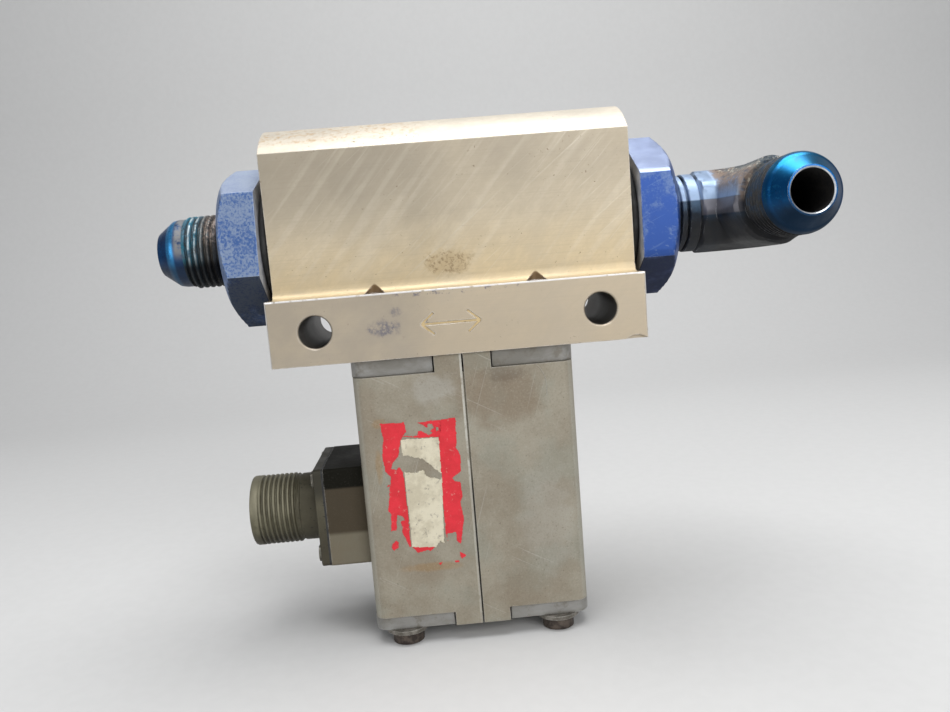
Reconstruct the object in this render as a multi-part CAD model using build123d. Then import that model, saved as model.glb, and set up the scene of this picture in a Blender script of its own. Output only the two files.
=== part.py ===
from build123d import *
import os
from math import acos, atan2, cos, degrees, pi, radians, sin, sqrt, tan

os.makedirs("parts", exist_ok=True)

# Frame: millimetres, +Z up, +X along the flow line, +Y away from the flange's marked side.
# The origin is midway between the two mounting holes, on the rear mounting face.

# Valve body block and its mounting flange
body_length = 91.0
body_depth = 34.0
flange_length = 94.8
flange_height = 16.6
flange_step = 2.75
root_fillet = 2.7
port_height = 22.1
crease_above_port = 22.0
roof_radius = 23.4
edge_break = 0.35
nick_width = 5.5
nick_height = 1.0
nick_depth = 0.8
nick_inset = 3.0
mounting_hole_spacing = 71.4
mounting_hole_diameter = 8.1
mounting_hole_chamfer = 0.4
relief_diameter = 5.2

# Flow arrow cut in the flange's face
arrow_length = 14.8
arrow_offset = -2.0
arrow_drop = 0.25
arrow_head_length = 3.2
arrow_head_width = 5.4
arrow_stroke = 0.65
arrow_depth = 0.3

# Ports, end fittings and elbow
flow_bore = 9.93
flare_thread_diameter = 19.05
flare_thread_length = 13.4
flare_relief_diameter = 16.6
flare_relief_length = 1.6
flare_lead_length = 2.0
flare_cone_base = 16.6
flare_nose_diameter = 11.3
flare_cone_angle = 37.0
hex_across_flats = 36.5
hex_width = 9.9
hex_gap = 2.1
hex_face_diameter = 34.6
hex_chamfer_angle = 30.0
inlet_hex_clocking = 9.4
outlet_hex_clocking = 0.8
spigot_diameter = 28.4
spigot_end = 33.5
nose_tube_diameter = 20.4
port_clearance = 0.1
port_end_room = 0.5
port_seal_section = 1.9
port_seal_room = 0.3
elbow_arm = 22.3
elbow_reach = 42.2
elbow_clocking = 2.9
elbow_flat_turn = 8.0
elbow_side_count = 8
elbow_across_flats = 20.8
elbow_bend_radius = 10.6
elbow_neck_diameter = 18.0
elbow_neck_depth = 11.0
elbow_collar_diameters = (20.2, 20.7)
elbow_collar_widths = (1.5, 3.0)
elbow_collar_gap = 0.5
elbow_first_collar = 2.9

# Ball, seats and stem
ball_diameter = 19.05
ball_bore = 10.0
seat_outer_diameter = 20.4
seat_inner_diameter = 10.4
seat_start = 6.0
seat_end = 10.6
seat_clearance = 0.05
spring_height = 1.5
spring_thickness = 0.7
stem_diameter = 8.0
stem_collar_diameter = 11.0
stem_collar_height = 2.0
tang_width = 3.0
tang_height = 2.3
tang_setback = 0.6
running_clearance = 0.05
gland_diameter = 13.0
gland_length = 6.0
stem_seal_section = 1.5
stem_groove_width = 1.95
stem_seal_heights = (2.2, 5.4)
tongue_height = 3.0

# Actuator housing: two cast halves between two end plates
actuator_width = 56.2
actuator_depth = 37.3
housing_height = 63.95
top_plate_thickness = 4.3
bottom_plate_thickness = 3.65
plate_gap = 0.05
plate_setback = 0.9
plate_overhang = 0.3
plate_corner_radius = 4.0
tab_width = 14.4
tab_depth = 6.0
tab_clearance = 0.35
housing_wall = 2.4
housing_corner_radius = 3.2
housing_inner_radius = 1.6
seam_gasket_thickness = 0.4
seam_gasket_inset = 0.45
tie_screw_x = 20.2
tie_screw_edge = 3.85
tie_screw_diameter = 4.8
tie_screw_clearance = 0.15
tie_column_diameter = 7.2
tie_thread_depth = 10.0
tie_hole_depth = 12.0
tie_head_diameter = 8.4
tie_head_height = 3.4
tie_slot_width = 1.2
tie_slot_depth = 1.3
tie_washer_diameter = 11.6
tie_washer_thickness = 1.0

# Electrical connector and its boss
boss_length = 10.7
boss_size = 26.4
boss_corner_radius = 0.8
boss_bore = 16.4
connector_drop = 72.0
connector_gasket_thickness = 0.5
connector_plate_thickness = 2.1
connector_plate_radius = 1.2
connector_thread_diameter = 19.05
connector_thread_length = 12.9
connector_neck_length = 5.6
connector_neck_diameter = 18.3
connector_inner_diameter = 15.6
connector_insert_diameter = 15.4
connector_socket_depth = 13.6
connector_key_width = 1.6
connector_key_height = 0.9
connector_key_setback = 1.5
connector_screw_offset = 10.2
connector_screw_diameter = 2.8
connector_screw_clearance = 0.1
connector_screw_head = 4.4
connector_screw_head_height = 0.7
connector_screw_slot_width = 0.7
connector_screw_slot_depth = 0.4
connector_screw_length = 6.5
connector_screw_hole_room = 0.5
connector_insert_seat = 1.0
pin_diameter = 1.6
pin_circle = 7.6
pin_length = 8.4
pin_cup_diameter = 2.2
pin_cup_length = 3.0
pin_count = 3

# Gear train: three like stages from the motor to the output shaft
gear_module = 0.7
pinion_teeth = 10
wheel_teeth = 26
pressure_angle = 25.0
addendum = 0.8
dedendum = 1.05
backlash = 0.09
stage_angles = (10.0, 175.0, -8.0)
wheel_thickness = 2.4
output_gear_thickness = 3.0
pinion_width = 4.0
pinion_setback = 0.2
stage_gap = 0.6
output_gear_gap = 1.3
arbor_diameter = 2.4
arbor_flange_diameter = 4.4
arbor_flange_height = 0.5
arbor_head_height = 0.35
arbor_end_play = 0.1
gear_plate_thickness = 2.0
gear_plate_margin = 0.3
gear_plate_shelf = 1.2
column_clearance = 0.4
upper_plate_drop = 12.4
lower_plate_drop = 24.8
post_diameter = 3.6
post_room = 0.5
side_post_spread = 7.5
middle_post_shift = 6.0
output_shaft_diameter = 8.0
bush_wall = 1.9
bush_seat_clearance = 0.05
bush_flange_height = 0.8
bush_flange_margin = 1.4
bush_end_setback = 0.3
cam_base_diameter = 10.6
cam_lobe_radius = 7.0
cam_lobe_width = 4.2
cam_thickness = 2.6
cam_gap = 0.4

# Limit switches worked by the cam
switch_length = 12.8
switch_depth = 5.8
switch_height = 6.2
switch_face_gap = 1.2
button_gap = 0.25
button_diameter = 2.0
button_stem = 2.6
button_hole_room = 1.2
switch_screw_hole = 1.8
switch_hole_spacing = 7.6

# Motor
motor_diameter = 21.0
motor_foot_room = 3.5
motor_wall = 1.2
end_bell_thickness = 2.0
motor_shaft_diameter = 2.6
motor_bearing_diameter = 6.0
motor_bearing_length = 2.4
armature_diameter = 14.0
armature_end_room = 5.6
armature_slots = 5
armature_slot_width = 1.6
armature_slot_depth = 3.0

# Reach of a cutter past the face that it opens
over = 1.0

# Places worked out from the sizes above
flange_depth = body_depth + 2 * flange_step
port_y = -flange_depth / 2
port_z = port_height
body_bottom = -flange_height / 2
flange_top = flange_height / 2
body_end = body_length / 2
hex_inner = body_end + hex_gap
hex_outer = hex_inner + hex_width
bore_radius = flow_bore / 2
elbow_centre = hex_outer + elbow_arm
ball_radius = ball_diameter / 2
cavity_radius = nose_tube_diameter / 2 + port_clearance
cavity_floor = port_z - cavity_radius
housing_top = body_bottom - top_plate_thickness - plate_gap
housing_bottom = housing_top - housing_height
actuator_bottom = housing_bottom - bottom_plate_thickness
housing_front = port_y - actuator_depth / 2
housing_rear = port_y + actuator_depth / 2
tie_screw_y = actuator_depth / 2 - plate_setback - tie_screw_edge
connector_z = port_z - connector_drop
boss_face = -actuator_width / 2 - boss_length
connector_face = boss_face - connector_gasket_thickness
shell_start = connector_face - connector_plate_thickness
shell_tip = shell_start - connector_neck_length - connector_thread_length
socket_floor = shell_tip + connector_socket_depth
insert_end = boss_face + connector_insert_seat
upper_plate_top = housing_top - upper_plate_drop + gear_plate_thickness
upper_plate_bottom = housing_top - upper_plate_drop
lower_plate_top = housing_top - lower_plate_drop
lower_plate_bottom = lower_plate_top - gear_plate_thickness
first_wheel_bottom = lower_plate_top + stage_gap + arbor_flange_height
second_wheel_bottom = first_wheel_bottom + wheel_thickness + stage_gap
output_gear_bottom = second_wheel_bottom + wheel_thickness + output_gear_gap
pinion_radius = gear_module * pinion_teeth / 2
wheel_radius = gear_module * wheel_teeth / 2
centre_distance = pinion_radius + wheel_radius
bush_radius = output_shaft_diameter / 2 + running_clearance + bush_wall
bush_hole = bush_radius + bush_seat_clearance
inner_half_width = actuator_width / 2 - housing_wall
inner_half_depth = actuator_depth / 2 - housing_wall
motor_top = lower_plate_bottom - end_bell_thickness
motor_foot = housing_bottom + housing_wall + motor_foot_room
stem_bottom = body_bottom - tongue_height
cam_bottom = upper_plate_top + bush_flange_height + cam_gap
stem_collar_bottom = cavity_floor - stem_collar_height - running_clearance


def block(x0, x1, y0, y1, z0, z1):
    """Box given by its two corners."""
    centre = Pos((x0 + x1) / 2, (y0 + y1) / 2, (z0 + z1) / 2)
    return centre * Box(x1 - x0, y1 - y0, z1 - z0)


def rod_x(radius, x0, x1, y=port_y, z=port_z):
    """Cylinder along X, on the flow line unless told otherwise."""
    return Pos((x0 + x1) / 2, y, z) * Rot(0, 90, 0) * Cylinder(radius, abs(x1 - x0))


def rod_y(radius, y0, y1, x, z):
    """Cylinder along Y."""
    return Pos(x, (y0 + y1) / 2, z) * Rot(90, 0, 0) * Cylinder(radius, abs(y1 - y0))


def rod_z(radius, z0, z1, x=0.0, y=port_y):
    """Cylinder along Z, on the stem's axis unless told otherwise."""
    return Pos(x, y, (z0 + z1) / 2) * Cylinder(radius, abs(z1 - z0))


def turned_x(points, y=port_y, z=port_z):
    """Solid turned about the flow line from (x, radius) points."""
    outline = make_face(Polyline(*[(x, radius) for x, radius in points], close=True))
    return Pos(0, y, z) * revolve(outline, Axis.X, 360)


def ring_z(outer, inner, z0, z1, x=0.0, y=port_y):
    """Plain ring along Z."""
    return rod_z(outer, z0, z1, x, y) - rod_z(inner, z0 - over, z1 + over, x, y)


def body_profile():
    """Section across the flow line: flange foot, root fillets and round roof."""
    foot = flange_depth / 2
    wall = body_depth / 2
    crease = port_z + crease_above_port
    roof_centre = crease - sqrt(roof_radius**2 - wall**2)
    bend = root_fillet * (1 - cos(pi / 4))
    lines = []
    for side in (-1, 1):
        lines += [
            Line((side * foot, body_bottom), (side * foot, flange_top)),
            Line((side * foot, flange_top), (side * (wall + root_fillet), flange_top)),
            ThreePointArc(
                (side * (wall + root_fillet), flange_top),
                (side * (wall + bend), flange_top + bend),
                (side * wall, flange_top + root_fillet),
            ),
            Line((side * wall, flange_top + root_fillet), (side * wall, crease)),
        ]
    lines.append(Line((-foot, body_bottom), (foot, body_bottom)))
    lines.append(ThreePointArc((-wall, crease), (0, roof_centre + roof_radius), (wall, crease)))
    return make_face(lines)


def flow_arrow():
    """Strokes of a plain two-headed arrow, as a cutter for the flange's front face."""
    half = arrow_length / 2
    strokes = Box(arrow_length, 2 * arrow_depth, arrow_stroke)
    slope = degrees(atan2(arrow_head_width / 2, arrow_head_length))
    barb = sqrt(arrow_head_length**2 + (arrow_head_width / 2) ** 2)
    for end in (-1, 1):
        for tilt in (-1, 1):
            stroke = Pos(-barb / 2, 0, 0) * Box(barb, 2 * arrow_depth, arrow_stroke)
            turn = Rot(0, tilt * slope + (180 if end < 0 else 0), 0)
            strokes += Pos(end * half, 0, 0) * turn * stroke
    return Pos(arrow_offset, -flange_depth, -arrow_drop) * strokes


def valve_body():
    """Machined block with its flange, ports, ball chamber, stem bore and holes."""
    flange = block(-flange_length / 2, flange_length / 2, -flange_depth, 0, body_bottom, flange_top)
    flange = chamfer(flange.edges().filter_by(Axis.Z), edge_break)
    flange = chamfer(flange.faces().sort_by(Axis.Z)[-1].edges().filter_by(Axis.X), edge_break)
    section = Plane.YZ * Pos(port_y, 0) * body_profile()
    body = flange + extrude(section, body_end, both=True)
    body -= rod_x(cavity_radius, -body_end - over, body_end + over)
    bore = spigot_diameter / 2 + port_clearance
    recess = spigot_diameter / 2 + port_seal_section + port_seal_room
    tie_hole = tie_screw_diameter / 2 + tie_screw_clearance
    tie_hole_end = body_bottom + tie_hole_depth
    for side in (-1, 1):
        body -= rod_x(bore, side * (spigot_end - port_end_room), side * (body_end + over))
        body -= rod_x(recess, side * body_end, side * flange_length)
        body -= mounting_hole(side * mounting_hole_spacing / 2)
        for face in (-1, 1):
            body -= rod_z(relief_diameter / 2, flange_top, flange_top + root_fillet,
                          side * tie_screw_x, port_y + face * flange_depth / 2)
            body -= rod_z(tie_hole, body_bottom - over, tie_hole_end,
                          side * tie_screw_x, port_y + face * tie_screw_y)
    collar = stem_collar_diameter / 2 + running_clearance
    body -= rod_z(collar, stem_collar_bottom - running_clearance, port_z)
    body -= rod_z(stem_diameter / 2 + running_clearance, body_bottom - over, port_z)
    body -= rod_z(gland_diameter / 2 + running_clearance, body_bottom - over, body_bottom + gland_length)
    return body - flow_arrow() - flange_nick()


def flange_nick():
    """Shallow scallop knocked out of the flange's lower edge."""
    radius = (nick_width**2 / 4 + nick_height**2) / (2 * nick_height)
    x = flange_length / 2 - nick_inset
    low = body_bottom + nick_height - radius
    return rod_y(radius, -flange_depth - over, -flange_depth + nick_depth, x, low)


def mounting_hole(x):
    """Through hole along Y with a small chamfer at each face."""
    radius = mounting_hole_diameter / 2
    outline = Polyline(
        (0, over), (radius + mounting_hole_chamfer + over, over), (radius, -mounting_hole_chamfer),
        (radius, -flange_depth + mounting_hole_chamfer),
        (radius + mounting_hole_chamfer + over, -flange_depth - over), (0, -flange_depth - over), close=True)
    return Pos(x, 0, 0) * revolve(make_face(outline), Axis.Y, 360)


def hex_head(inner, outer, clocking):
    """Hexagon along X with its corners turned away at both ends."""
    corner = hex_across_flats / sqrt(3)
    face = hex_face_diameter / 2
    fall = (corner - face) * tan(radians(hex_chamfer_angle))
    side = 1 if outer > inner else -1
    prism = Plane.YZ * RegularPolygon(corner, 6)
    prism = extrude(prism, abs(outer - inner) / 2, both=True)
    prism = Pos((inner + outer) / 2, port_y, port_z) * Rot(30 - clocking, 0, 0) * prism
    limit = turned_x([(inner, 0), (inner, face), (inner + side * fall, corner),
                      (outer - side * fall, corner), (outer, face), (outer, 0)])
    return prism & limit


def flare_end(length_to_nose):
    """Points (distance, radius) of a flared tube end, from its root to its nose."""
    base = flare_cone_base / 2
    nose = flare_nose_diameter / 2
    cone = (base - nose) / tan(radians(flare_cone_angle))
    thread = flare_thread_diameter / 2
    relief = flare_relief_diameter / 2
    cone_start = length_to_nose - cone
    thread_start = cone_start - flare_thread_length
    root = thread_start - flare_relief_length
    return [
        (root, relief), (thread_start, relief), (thread_start + flare_lead_length, thread),
        (cone_start - flare_lead_length, thread), (cone_start, base), (length_to_nose, nose),
    ]


def seat_tube(side):
    """Points of the spigot that screws into the body and backs the seat's spring."""
    spigot = spigot_diameter / 2
    tube = nose_tube_diameter / 2
    tip = seat_end + spring_height + 2 * seat_clearance
    points = [(hex_inner, spigot), (spigot_end, spigot), (spigot_end, tube), (tip, tube)]
    return [(side * x, radius) for x, radius in points]


def inlet_fitting():
    """Hexagon fitting with the flared tube end on the outside and the seat tube inside."""
    cone = (flare_cone_base - flare_nose_diameter) / 2 / tan(radians(flare_cone_angle))
    nose = flare_relief_length + flare_thread_length + cone
    tail = [(-hex_outer - distance, radius) for distance, radius in flare_end(nose)]
    tube = seat_tube(-1)
    outline = [(tube[-1][0], bore_radius)] + tube[::-1] + [(-hex_outer, spigot_diameter / 2)]
    outline += tail + [(tail[-1][0], bore_radius)]
    bore = rod_x(bore_radius, tail[-1][0] - over, tube[-1][0] + over)
    return turned_x(outline) + (hex_head(-hex_inner, -hex_outer, inlet_hex_clocking) - bore)


def outlet_adapter():
    """Hexagon fitting that takes the elbow's neck."""
    tube = seat_tube(1)
    spigot = turned_x([(tube[-1][0], 0)] + tube[::-1] + [(hex_inner, 0)])
    adapter = spigot + hex_head(hex_inner, hex_outer, outlet_hex_clocking)
    adapter -= rod_x(bore_radius, 0, hex_outer + over)
    socket = elbow_neck_diameter / 2 + port_clearance
    return adapter - rod_x(socket, hex_outer - elbow_neck_depth, hex_outer + over)


def elbow_place():
    """Place of the elbow's corner, with the branch turned to face the flange's side."""
    return Pos(elbow_centre, port_y, port_z) * Rot(-elbow_clocking, 0, 0)


def outlet_elbow():
    """Forged right-angle elbow with flats, collars, a neck and a flared tube end."""
    neck_end = hex_outer - elbow_neck_depth + port_clearance - elbow_centre
    first = hex_outer + elbow_first_collar - elbow_centre
    second = first + elbow_collar_widths[0] + elbow_collar_gap
    forging = second + elbow_collar_widths[1]
    neck = elbow_neck_diameter / 2
    points = [(neck_end, 0), (neck_end, neck), (first, neck)]
    for start, width, diameter in zip((first, second), elbow_collar_widths, elbow_collar_diameters):
        points += [(start, diameter / 2), (start + width, diameter / 2), (start + width, neck)]
    points += [(forging + over, neck), (forging + over, 0)]
    flats = elbow_across_flats / 2
    tail = flare_end(elbow_reach)
    root = tail[0][0]
    bend = elbow_bend_radius
    path = Line((forging, 0), (-bend, 0)) + ThreePointArc(
        (-bend, 0), (-bend * (1 - sin(pi / 4)), -bend * (1 - cos(pi / 4))), (0, -bend)
    ) + Line((0, -bend), (0, -root))
    section = RegularPolygon(flats, elbow_side_count, major_radius=False)
    section = Plane((forging, 0, 0), z_dir=(1, 0, 0)) * Rot(0, 0, elbow_flat_turn) * section
    elbow = sweep(section, path=path) + turned_x(points, 0, 0)
    branch = make_face(Polyline((0, -root + over), *[(radius, -reach) for reach, radius in tail],
                                (0, -elbow_reach), close=True))
    elbow += revolve(branch, Axis.Y, 360)
    elbow -= rod_x(bore_radius, neck_end - over, bore_radius / 2, 0, 0)
    elbow -= rod_y(bore_radius, -elbow_reach - over, bore_radius / 2, 0, 0)
    return elbow_place() * elbow


def port_seal(side):
    """O-ring round the spigot, between the hexagon and the body's end face."""
    section = port_seal_section / 2
    centre = Pos(side * (body_end + hex_gap / 2), port_y, port_z)
    return centre * Rot(0, 90, 0) * Torus(spigot_diameter / 2 + section, section)


def seat(side):
    """Seat ring with its spherical face against the ball."""
    reach = ball_radius + seat_clearance
    inner = seat_inner_diameter / 2
    outer = seat_outer_diameter / 2
    lip = sqrt(reach**2 - seat_start**2)
    throat = sqrt(reach**2 - inner**2)
    middle = (seat_start + throat) / 2
    arc = sqrt(reach**2 - middle**2)
    lines = [
        Line((side * seat_end, inner), (side * seat_end, outer)),
        Line((side * seat_end, outer), (side * seat_start, outer)),
        Line((side * seat_start, outer), (side * seat_start, lip)),
        ThreePointArc((side * seat_start, lip), (side * middle, arc), (side * throat, inner)),
        Line((side * throat, inner), (side * seat_end, inner)),
    ]
    return Pos(0, port_y, port_z) * revolve(make_face(lines), Axis.X, 360)


def seat_spring(side):
    """Coned spring washer behind a seat."""
    inner = seat_inner_diameter / 2
    outer = seat_outer_diameter / 2 - seat_clearance
    near = seat_end + seat_clearance
    far = near + spring_height
    return turned_x([(side * near, outer), (side * (near + spring_thickness), outer),
                     (side * far, inner), (side * (far - spring_thickness), inner)])


def ball():
    """Quarter-turn ball, with its bore across the flow line when shut."""
    sphere = Pos(0, port_y, port_z) * Sphere(ball_radius)
    sphere -= rod_y(ball_bore / 2, port_y - ball_diameter, port_y + ball_diameter, 0, port_z)
    slot = block(-ball_diameter, ball_diameter,
                 port_y - tang_width / 2 - running_clearance, port_y + tang_width / 2 + running_clearance,
                 port_z - ball_radius - over, port_z - ball_radius + tang_height + running_clearance)
    return sphere - slot


def stem():
    """Stem with the tang that turns the ball, a thrust collar and a drive tongue."""
    top = port_z - ball_radius + tang_height
    collar_top = stem_collar_bottom + stem_collar_height
    post = rod_z(stem_diameter / 2, stem_bottom, collar_top)
    post += rod_z(stem_collar_diameter / 2, stem_collar_bottom, collar_top)
    reach = stem_collar_diameter / 2 - tang_setback
    post += block(-reach, reach, port_y - tang_width / 2, port_y + tang_width / 2, stem_collar_bottom, top)
    for height in stem_seal_heights:
        low = body_bottom + gland_length + height - stem_groove_width / 2
        post -= ring_z(stem_diameter, stem_diameter / 2 - stem_seal_section, low, low + stem_groove_width)
    cheek = stem_diameter
    for face in (-1, 1):
        inner = port_y + face * tang_width / 2
        outer = inner + face * cheek
        post -= block(-cheek, cheek, min(inner, outer), max(inner, outer), stem_bottom - over, body_bottom)
    return post


def stem_seals():
    """O-rings in the stem's grooves."""
    section = stem_seal_section / 2
    centre = stem_diameter / 2 - section + running_clearance / 2
    rings = []
    for height in stem_seal_heights:
        place = Pos(0, port_y, body_bottom + gland_length + height)
        rings.append(place * Torus(centre, section))
    return Compound(rings)


def stem_gland():
    """Bush in the body's underside that keeps the stem and its seals in."""
    outer = gland_diameter / 2
    inner = stem_diameter / 2 + running_clearance
    return ring_z(outer, inner, body_bottom, body_bottom + gland_length)


def end_plate(low, high):
    """Clamp plate with round corners and a notch front and rear for the housing's tabs."""
    half_width = actuator_width / 2 + plate_overhang
    half_depth = actuator_depth / 2 - plate_setback
    plate = block(-half_width, half_width, port_y - half_depth, port_y + half_depth, low, high)
    plate = fillet(plate.edges().filter_by(Axis.Z), plate_corner_radius)
    notch = tab_width / 2 + tab_clearance
    for face in (-1, 1):
        inner = port_y + face * (actuator_depth / 2 - tab_depth - tab_clearance)
        outer = port_y + face * actuator_depth
        plate -= block(-notch, notch, min(inner, outer), max(inner, outer), low - over, high + over)
    for x, y in tie_spots():
        plate -= rod_z(tie_screw_diameter / 2 + tie_screw_clearance, low - over, high + over, x, y)
    return plate


def tie_spots():
    """Centres of the four tie screws."""
    return [(sx * tie_screw_x, port_y + sy * tie_screw_y) for sx in (-1, 1) for sy in (-1, 1)]


def top_plate():
    """Plate under the valve body, bored for the output bush."""
    plate = end_plate(housing_top + plate_gap, body_bottom)
    return plate - rod_z(bush_hole, housing_top - over, body_bottom + over)


def bottom_plate():
    """Plate at the actuator's foot."""
    return end_plate(actuator_bottom, housing_bottom - plate_gap)


def housing_shell():
    """Whole cast box before it is parted: outer form with tabs, hollow, columns and shelves."""
    half_width = actuator_width / 2
    half_depth = actuator_depth / 2
    shell = block(-half_width, half_width, housing_front, housing_rear, housing_bottom, housing_top)
    shell = fillet(shell.edges().filter_by(Axis.Z), housing_corner_radius)
    hollow = block(-half_width + housing_wall, half_width - housing_wall,
                   port_y - half_depth + housing_wall, port_y + half_depth - housing_wall,
                   housing_bottom + housing_wall, housing_top - housing_wall)
    hollow = fillet(hollow.edges().filter_by(Axis.Z), housing_inner_radius)
    shelf_low = lower_plate_bottom - gear_plate_shelf
    open_width = half_width - housing_wall - gear_plate_shelf
    open_depth = half_depth - housing_wall - gear_plate_shelf
    opening = block(-open_width, open_width, port_y - open_depth, port_y + open_depth,
                    shelf_low - over, lower_plate_bottom + over)
    inset = housing_wall / 2
    shelf = block(-half_width + inset, half_width - inset, housing_front + inset, housing_rear - inset,
                  shelf_low, lower_plate_bottom)
    shell -= hollow
    shell += (shelf - opening)
    for face in (-1, 1):
        inner = port_y + face * (half_depth - tab_depth)
        outer = port_y + face * half_depth
        shell += block(-tab_width / 2, tab_width / 2, min(inner, outer), max(inner, outer),
                       actuator_bottom, housing_bottom)
        shell += block(-tab_width / 2, tab_width / 2, min(inner, outer), max(inner, outer),
                       housing_top, body_bottom - plate_gap)
    tie_hole = tie_screw_diameter / 2 + tie_screw_clearance
    for x, y in tie_spots():
        shell += rod_z(tie_column_diameter / 2, housing_bottom, housing_top, x, y)
        shell -= rod_z(tie_hole, housing_bottom - over, housing_top + over, x, y)
    return shell - rod_z(bush_hole, housing_top - housing_wall - over, housing_top + over)


def housing_half(side):
    """One half of the box, cut back from the middle by half the gasket."""
    gap = seam_gasket_thickness / 2
    far = actuator_width + boss_length
    keep = block(min(side * gap, side * far), max(side * gap, side * far),
                 housing_front - over, housing_rear + over, actuator_bottom - over, body_bottom + over)
    return housing_shell() & keep


def housing_left():
    """Left half, with the square boss that carries the connector."""
    boss_half = boss_size / 2
    boss = block(boss_face, -actuator_width / 2 + housing_wall / 2,
                 port_y - boss_half, port_y + boss_half, connector_z - boss_half, connector_z + boss_half)
    boss = fillet(boss.edges().filter_by(Axis.X), boss_corner_radius)
    half = housing_half(-1) + boss
    wall_end = -actuator_width / 2 + housing_wall
    half -= rod_x(boss_bore / 2, boss_face - over, wall_end + over, port_y, connector_z)
    for y, z in connector_screw_spots():
        hole_end = shell_start + connector_screw_length + connector_screw_hole_room
        half -= rod_x(connector_screw_diameter / 2, boss_face - over, hole_end, y, z)
    return half


def housing_right():
    """Right half."""
    return housing_half(1)


def housing_gasket():
    """Thin gasket in the seam, a little below the outer faces."""
    inset = seam_gasket_inset
    half = seam_gasket_thickness / 2
    sheet = block(-half, half, housing_front + inset, housing_rear - inset,
                  housing_bottom + inset, housing_top - inset)
    wall = housing_wall
    sheet -= block(-over, over, housing_front + wall, housing_rear - wall,
                   housing_bottom + wall, housing_top - wall)
    return sheet - rod_z(bush_hole, housing_top - 2 * housing_wall, housing_top + over)


def tie_screws():
    """Long slotted screws from the bottom plate into the valve body."""
    screws = []
    washer = actuator_bottom - tie_washer_thickness
    for x, y in tie_spots():
        screw = rod_z(tie_screw_diameter / 2, washer, body_bottom + tie_thread_depth, x, y)
        screw += rod_z(tie_head_diameter / 2, washer - tie_head_height, washer, x, y)
        head = washer - tie_head_height
        slot = tie_slot_width / 2
        screw -= block(x - tie_head_diameter, x + tie_head_diameter, y - slot, y + slot,
                       head - over, head + tie_slot_depth)
        screws.append(screw)
    return Compound(screws)


def tie_washers():
    """Washers under the tie screws' heads."""
    bore = tie_screw_diameter / 2 + tie_screw_clearance
    low = actuator_bottom - tie_washer_thickness
    outer = tie_washer_diameter / 2
    return Compound([ring_z(outer, bore, low, actuator_bottom, x, y) for x, y in tie_spots()])


def connector_screw_spots():
    """Centres of the connector's four screws, as (y, z)."""
    offset = connector_screw_offset
    return [(port_y + sy * offset, connector_z + sz * offset) for sy in (-1, 1) for sz in (-1, 1)]


def square_plate(x0, x1):
    """Square plate across X with round corners and the connector's holes."""
    half = boss_size / 2
    plate = block(x0, x1, port_y - half, port_y + half, connector_z - half, connector_z + half)
    plate = fillet(plate.edges().filter_by(Axis.X), connector_plate_radius)
    hole = connector_screw_diameter / 2 + connector_screw_clearance
    for y, z in connector_screw_spots():
        plate -= rod_x(hole, x0 - over, x1 + over, y, z)
    return plate


def connector_gasket():
    """Gasket under the connector's flange."""
    sheet = square_plate(connector_face, boss_face)
    return sheet - rod_x(boss_bore / 2, connector_face - over, boss_face + over, port_y, connector_z)


def connector_shell():
    """Receptacle shell: square flange, neck and coupling thread with one key inside."""
    neck_end = shell_start - connector_neck_length
    shell = square_plate(shell_start, connector_face)
    shell += rod_x(connector_neck_diameter / 2, neck_end, connector_face, port_y, connector_z)
    shell += rod_x(connector_thread_diameter / 2, shell_tip, neck_end, port_y, connector_z)
    inner = connector_inner_diameter / 2
    shell -= rod_x(inner, shell_tip - over, connector_face + over, port_y, connector_z)
    middle_of_wall = (inner + connector_neck_diameter / 2) / 2
    key_half = connector_key_width / 2
    key = block(shell_tip + connector_key_setback, socket_floor, port_y - key_half, port_y + key_half,
                connector_z + inner - connector_key_height, connector_z + middle_of_wall)
    return shell + key


def connector_insert():
    """Insulating disc that holds the contact pins."""
    disc = rod_x(connector_insert_diameter / 2, socket_floor, insert_end, port_y, connector_z)
    for y, z in pin_spots():
        disc -= rod_x(pin_diameter / 2, socket_floor - over, insert_end + over, y, z)
    return disc


def pin_spots():
    """Centres of the contact pins, as (y, z)."""
    radius = pin_circle / 2
    turns = [radians(90 + 360 * k / pin_count) for k in range(pin_count)]
    return [(port_y + radius * cos(turn), connector_z + radius * sin(turn)) for turn in turns]


def connector_pins():
    """Contact pins with solder cups behind the insert."""
    pins = []
    for y, z in pin_spots():
        pin = rod_x(pin_diameter / 2, socket_floor - pin_length, insert_end, y, z)
        pin += rod_x(pin_cup_diameter / 2, insert_end, insert_end + pin_cup_length, y, z)
        pins.append(pin)
    return Compound(pins)


def connector_screws():
    """Fillister screws through the connector's flange into the boss."""
    screws = []
    for y, z in connector_screw_spots():
        head = shell_start - connector_screw_head_height
        screw = rod_x(connector_screw_head / 2, head, shell_start, y, z)
        screw += rod_x(connector_screw_diameter / 2, shell_start, shell_start + connector_screw_length, y, z)
        slot = connector_screw_slot_width / 2
        screw -= block(head - over, head + connector_screw_slot_depth, y - slot, y + slot,
                       z - connector_screw_head, z + connector_screw_head)
        screws.append(screw)
    return Compound(screws)


def tooth_half_angle(teeth, radius):
    """Half the angle that one tooth spans at a radius, on an involute flank."""
    pitch = gear_module * teeth / 2
    base = pitch * cos(radians(pressure_angle))

    def spread(at):
        bend = acos(min(1.0, base / at))
        return tan(bend) - bend

    half = pi / (2 * teeth) - backlash / (2 * pitch)
    return half + spread(pitch) - spread(max(radius, base))


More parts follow.
